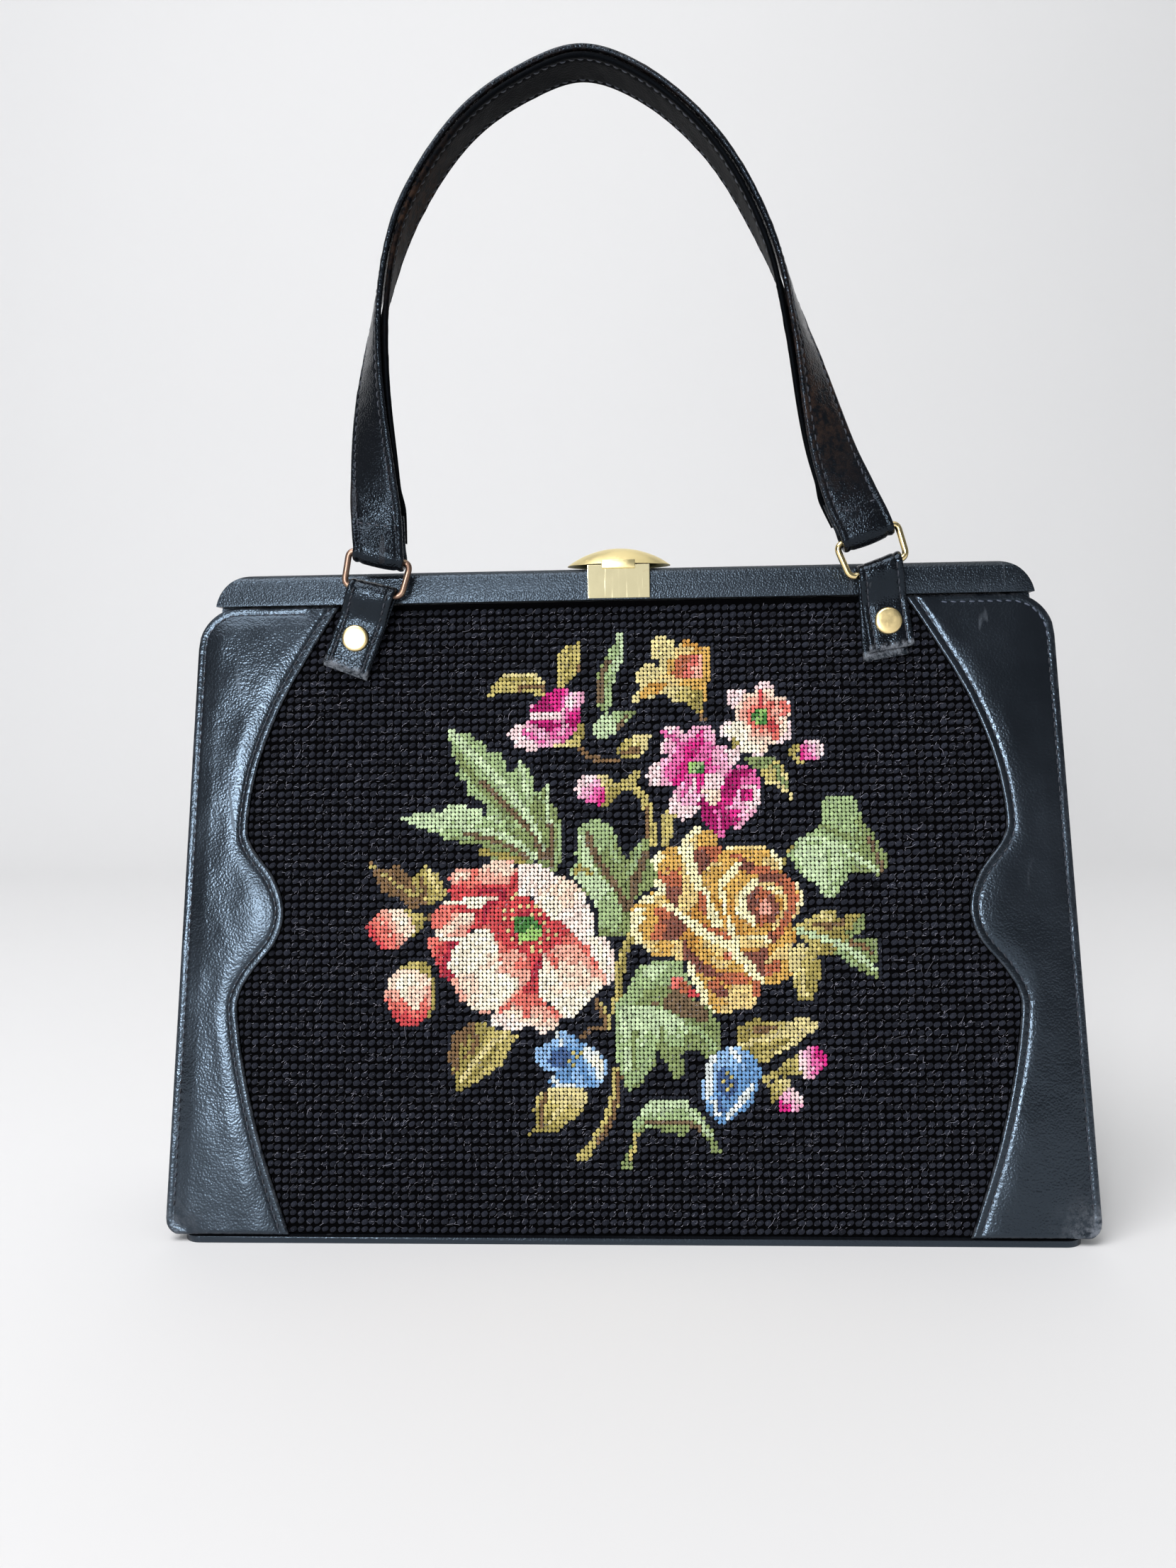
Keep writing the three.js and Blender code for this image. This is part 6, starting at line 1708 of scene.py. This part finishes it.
class HANDBAG_OT_needlepoint(bpy.types.Operator):
    """Needlepoint: large ground stitches and the bouquet in small ones"""

    bl_idname = "handbag.needlepoint"
    bl_label = "Needlepoint"

    def execute(self, context):
        size, look = context.scene.handbag_sizes, context.scene.handbag_looks
        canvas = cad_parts["needlepoint_panel"]
        canvas.data.materials.clear()
        canvas.data.materials.append(shared("canvas", lambda name: canvas_cloth(name, CANVAS_GAP_SHADE)))
        pitch = size.ground_pitch * 1000
        half = int(FOOT_HALF_WIDTH // pitch)
        columns = 2 * half
        rows = int(BODY_HEIGHT / pitch) + 1
        chance = np.random.default_rng(look.chance)
        chart = bouquet_chart(2 * columns, 2 * rows, chance)
        worked = ~np.isnan(chart[..., 0])
        coarse = ~worked.reshape(rows, 2, columns, 2).any((1, 3))
        row, column = np.nonzero(coarse)
        ground = self.add_wool("needlepoint_ground", row, column, columns, pitch, size.ground_rise * 1000,
                               np.tile(look.ground_wool, (len(row), 1)), chance, **GROUND_STITCH)
        fine = np.repeat(np.repeat(~coarse, 2, 0), 2, 1)
        row, column = np.nonzero(fine)
        dye = chart[row, column]
        dye = np.where(np.isnan(dye), np.array(look.ground_wool), dye)
        bouquet = self.add_wool("needlepoint_bouquet", row, column, 2 * columns, pitch / 2,
                                size.bouquet_rise * 1000, dye, chance, **BOUQUET_STITCH)
        fuzz_sheen = self.add_fuzz(chance)
        heights = np.linspace(WALL_FOOT, WALL_TOP, 200)
        widths = 2 * (scallop_reach(heights) + CANVAS_UNDER_LEATHER)
        return {"FINISHED"}

    def add_wool(self, name, row, column, columns, pitch, rise, dye, chance, slope, plump,
                 along_steps, across_steps):
        x = (column - columns / 2 + 0.5) * pitch
        z = WALL_FOOT + (row + 0.5) * pitch
        inside = (np.abs(x) < scallop_reach(z) + 0.45 * pitch) & (z < WALL_TOP - 0.2 * pitch)
        x, z, dye = x[inside], z[inside], dye[inside]
        px, pz, up = wool_stitches(x, z, pitch, rise, slope, plump, chance, along_steps, across_steps)
        pz = np.clip(pz, WALL_FOOT + 0.1, WALL_TOP - 0.15)
        reach = scallop_reach(pz) - 0.15
        px = np.clip(px, -reach, reach)
        depth = wall_half_depth(px, pz) - CANVAS_DEPTH + up
        points = np.stack([px, -depth, pz], -1).reshape(-1, 3)
        per = (along_steps + 1) * (across_steps + 1)
        one = grid_faces(along_steps + 1, across_steps + 1)
        faces = (np.arange(len(x))[:, None, None] * per + one[None]).reshape(-1, 4)
        shade = chance.normal(1, 0.07 + 0.05 * pitch, (len(x), 1)) * dye
        colours = np.repeat(np.clip(shade, 0.001, 1), per, 0)
        piece = new_piece(name, points, faces, colours=colours)
        self.flat_map(piece)
        look = bpy.context.scene.handbag_looks
        dress(piece, shared("wool", lambda word: wool(word, look.fuzz_sheen)), "needlepoint")
        return piece

    def add_fuzz(self, chance):
        """Loose wool fibres that stand out of the stitches, painted pale grey as the sheen they catch."""
        size, look = bpy.context.scene.handbag_sizes, bpy.context.scene.handbag_looks
        count = look.fibres
        x = chance.uniform(-FOOT_HALF_WIDTH, FOOT_HALF_WIDTH, count)
        z = chance.uniform(WALL_FOOT + 2, WALL_TOP - 2, count)
        inside = np.abs(x) < scallop_reach(z) - 2.5
        x, z = x[inside], z[inside]
        count = len(x)
        heading = np.radians(chance.normal(*FIBRE_SLANT, count))
        stray = chance.uniform(0, 1, count) < LONG_FIBRES
        stray_length = chance.gamma(3.0, 0.5, count) + 1.0
        short_length = chance.gamma(4.0, 0.13, count) + 0.3
        length = np.where(stray, stray_length, short_length)
        bend = chance.normal(0, 0.5, count)
        share = np.array([-0.5, 0.0, 0.5])
        turn = heading[:, None] + bend[:, None] * share
        px = x[:, None] + length[:, None] * share * np.cos(turn)
        pz = z[:, None] + length[:, None] * share * np.sin(turn)
        up = size.ground_rise * 1000 * chance.uniform(0.6, 1.1, count)[:, None] + 0.25 - 0.9 * share ** 2
        depth = wall_half_depth(px, pz) - CANVAS_DEPTH + up
        rings = []
        for angle in np.radians([90, 210, 330]):
            sideways, lift = FIBRE_RADIUS * math.cos(angle), FIBRE_RADIUS * math.sin(angle)
            rings.append(np.stack([px - sideways * np.sin(turn), -depth - lift,
                                   pz + sideways * np.cos(turn)], -1))
        points = np.stack(rings, 2).reshape(-1, 3)
        one = grid_faces(len(share), 3, closed=True)
        faces = (np.arange(count)[:, None, None] * len(share) * 3 + one[None]).reshape(-1, 4)
        # The fibres are real; their grey, brighter or dimmer at random, is painted sheen
        fibre_sheen_grey = np.array(look.fuzz_sheen) * chance.uniform(0.2, 1.7, count)[:, None] ** 1.5
        piece = new_piece("needlepoint_fuzz", points, faces, colours=np.repeat(fibre_sheen_grey, len(share) * 3, 0))
        self.flat_map(piece)
        dress(piece, seam_thread(), "needlepoint")
        return piece

    def flat_map(self, piece):
        """A flat map of the stitches, seen from the front."""
        mesh = piece.data
        layer = mesh.uv_layers.new(name="OFBake")
        spots = np.zeros(len(mesh.vertices) * 3)
        mesh.vertices.foreach_get("co", spots)
        spots = spots.reshape(-1, 3)[:, [0, 2]]
        low, high = spots.min(0), spots.max(0)
        corner = np.zeros(len(mesh.loops), int)
        mesh.loops.foreach_get("vertex_index", corner)
        flat = ((spots - low) / (high - low).max() * 0.99 + 0.005)[corner]
        layer.uv.foreach_set("vector", flat.astype(np.float32).ravel())


# Stage

# The floor in metres: flat, then a quarter bend, then an upright backdrop
FLOOR_FRONT = -2.5
FLOOR_BACK = 0.9
FLOOR_BEND = 0.6
BACKDROP_TOP = 3.0
FLOOR_HALF_WIDTH = 3.5
PALE_PAPER = (0.8, 0.8, 0.8)
ROOM_LIGHT = (0.85, 0.93, 1.0, 1)
ROOM_STRENGTH = 0.16

# Area lights, in metres and watts
LIGHTS = {
    "window": dict(place=(-0.58, -2.07, 0.38), aim=(0, 0, 0.14), size=(0.34, 0.4), power=27,
                   colour=(0.97, 0.98, 1.0)),
    "sky": dict(place=(-0.8, -1.15, 2.15), aim=(0, 0, 0.1), size=(1.7, 1.7), power=54,
                colour=(0.99, 0.98, 1.0)),
    "card": dict(place=(-0.12, -2.0, 0.42), aim=(0, 0, 0.2), size=(0.6, 0.35), power=0.5,
                 colour=(1.0, 0.98, 0.95)),
    "ceiling": dict(place=(0.1, -0.1, 2.3), aim=(0, 0, 0), size=(2.2, 2.2), power=12,
                    colour=(1.0, 0.97, 0.92)),
}
CAMERA_PLACE = (0.0090, -0.4157, 0.1653)
CAMERA_TURNS = ((2.82, "Z"), (-3.23, "X"), (0.86, "Y"), (90, "X"))
CAMERA_LENS = 28.49


class HANDBAG_OT_stage(bpy.types.Operator):
    """Pale floor and backdrop, soft lights and the camera"""

    bl_idname = "handbag.stage"
    bl_label = "Stage"

    def execute(self, context):
        scene = context.scene
        rise = [(y, 0.0) for y in np.linspace(FLOOR_FRONT, FLOOR_BACK, 12)]
        rise += [(FLOOR_BACK + FLOOR_BEND * math.sin(angle), FLOOR_BEND * (1 - math.cos(angle)))
                 for angle in np.linspace(0.1, math.pi / 2, 12)]
        rise += [(FLOOR_BACK + FLOOR_BEND, z) for z in np.linspace(FLOOR_BEND + 0.2, BACKDROP_TOP, 6)]
        points = [(x, y, z) for y, z in rise for x in (-FLOOR_HALF_WIDTH, FLOOR_HALF_WIDTH)]
        mesh = bpy.data.meshes.new("floor")
        mesh.from_pydata(points, [], grid_faces(len(rise), 2).tolist())
        mesh.polygons.foreach_set("use_smooth", [True] * len(mesh.polygons))
        floor = bpy.data.objects.new("floor", mesh)
        scene.collection.objects.link(floor)
        floor.data.materials.append(plain_stage("pale paper", PALE_PAPER))
        world = bpy.data.worlds.new("studio")
        world.use_nodes = True
        around = world.node_tree.nodes["Background"]
        around.inputs["Color"].default_value = ROOM_LIGHT
        around.inputs["Strength"].default_value = ROOM_STRENGTH
        scene.world = world
        scene.view_settings.view_transform = "Standard"
        for name, light in LIGHTS.items():
            self.add_light(name, **light)
        self.add_camera(scene)
        return {"FINISHED"}

    def add_light(self, name, place, aim, size, power, colour):
        data = bpy.data.lights.new(name, "AREA")
        data.shape = "RECTANGLE"
        data.size, data.size_y = size
        data.energy = power
        data.color = colour
        light = bpy.data.objects.new(name, data)
        light.location = place
        light.rotation_mode = "QUATERNION"
        light.rotation_quaternion = (Vector(aim) - Vector(place)).to_track_quat("-Z", "Y")
        bpy.context.scene.collection.objects.link(light)

    def add_camera(self, scene):
        data = bpy.data.cameras.new("camera")
        data.sensor_width = 36
        data.lens = CAMERA_LENS
        data.clip_start = 0.02
        data.clip_end = 20
        camera = bpy.data.objects.new("camera", data)
        scene.collection.objects.link(camera)
        turn = Matrix.Identity(4)
        for degrees, axis in CAMERA_TURNS:
            turn = turn @ Matrix.Rotation(math.radians(degrees), 4, axis)
        camera.matrix_world = Matrix.Translation(CAMERA_PLACE) @ turn
        scene.camera = camera


class HANDBAG_PT_panel(bpy.types.Panel):
    """Lists the handbag's steps and settings"""

    bl_idname = "HANDBAG_PT_panel"
    bl_label = "Handbag"
    bl_space_type = "VIEW_3D"
    bl_region_type = "UI"
    bl_category = "Handbag"

    def draw(self, context):
        column = self.layout.column()
        for step in STEPS:
            column.operator(step.bl_idname)
        for group in (context.scene.handbag_sizes, context.scene.handbag_looks):
            for name in group.bl_rna.properties.keys():
                if name not in ("rna_type", "name"):
                    column.prop(group, name)


STEPS = (
    HANDBAG_OT_stage,
    HANDBAG_OT_needlepoint,
    HANDBAG_OT_sides,
    HANDBAG_OT_back,
    HANDBAG_OT_ends,
    HANDBAG_OT_frame,
    HANDBAG_OT_clasp,
    HANDBAG_OT_tabs,
    HANDBAG_OT_handle,
)
CLASSES = (HandbagSizes, HandbagLooks, *STEPS, HANDBAG_PT_panel)


def register():
    for entry in CLASSES:
        bpy.utils.register_class(entry)
    bpy.types.Scene.handbag_sizes = PointerProperty(type=HandbagSizes)
    bpy.types.Scene.handbag_looks = PointerProperty(type=HandbagLooks)


def unregister():
    del bpy.types.Scene.handbag_looks
    del bpy.types.Scene.handbag_sizes
    for entry in reversed(CLASSES):
        bpy.utils.unregister_class(entry)


def main():
    register()
    for step in STEPS:
        group, name = step.bl_idname.split(".")
        getattr(getattr(bpy.ops, group), name)()


if __name__ == "__main__":
    main()
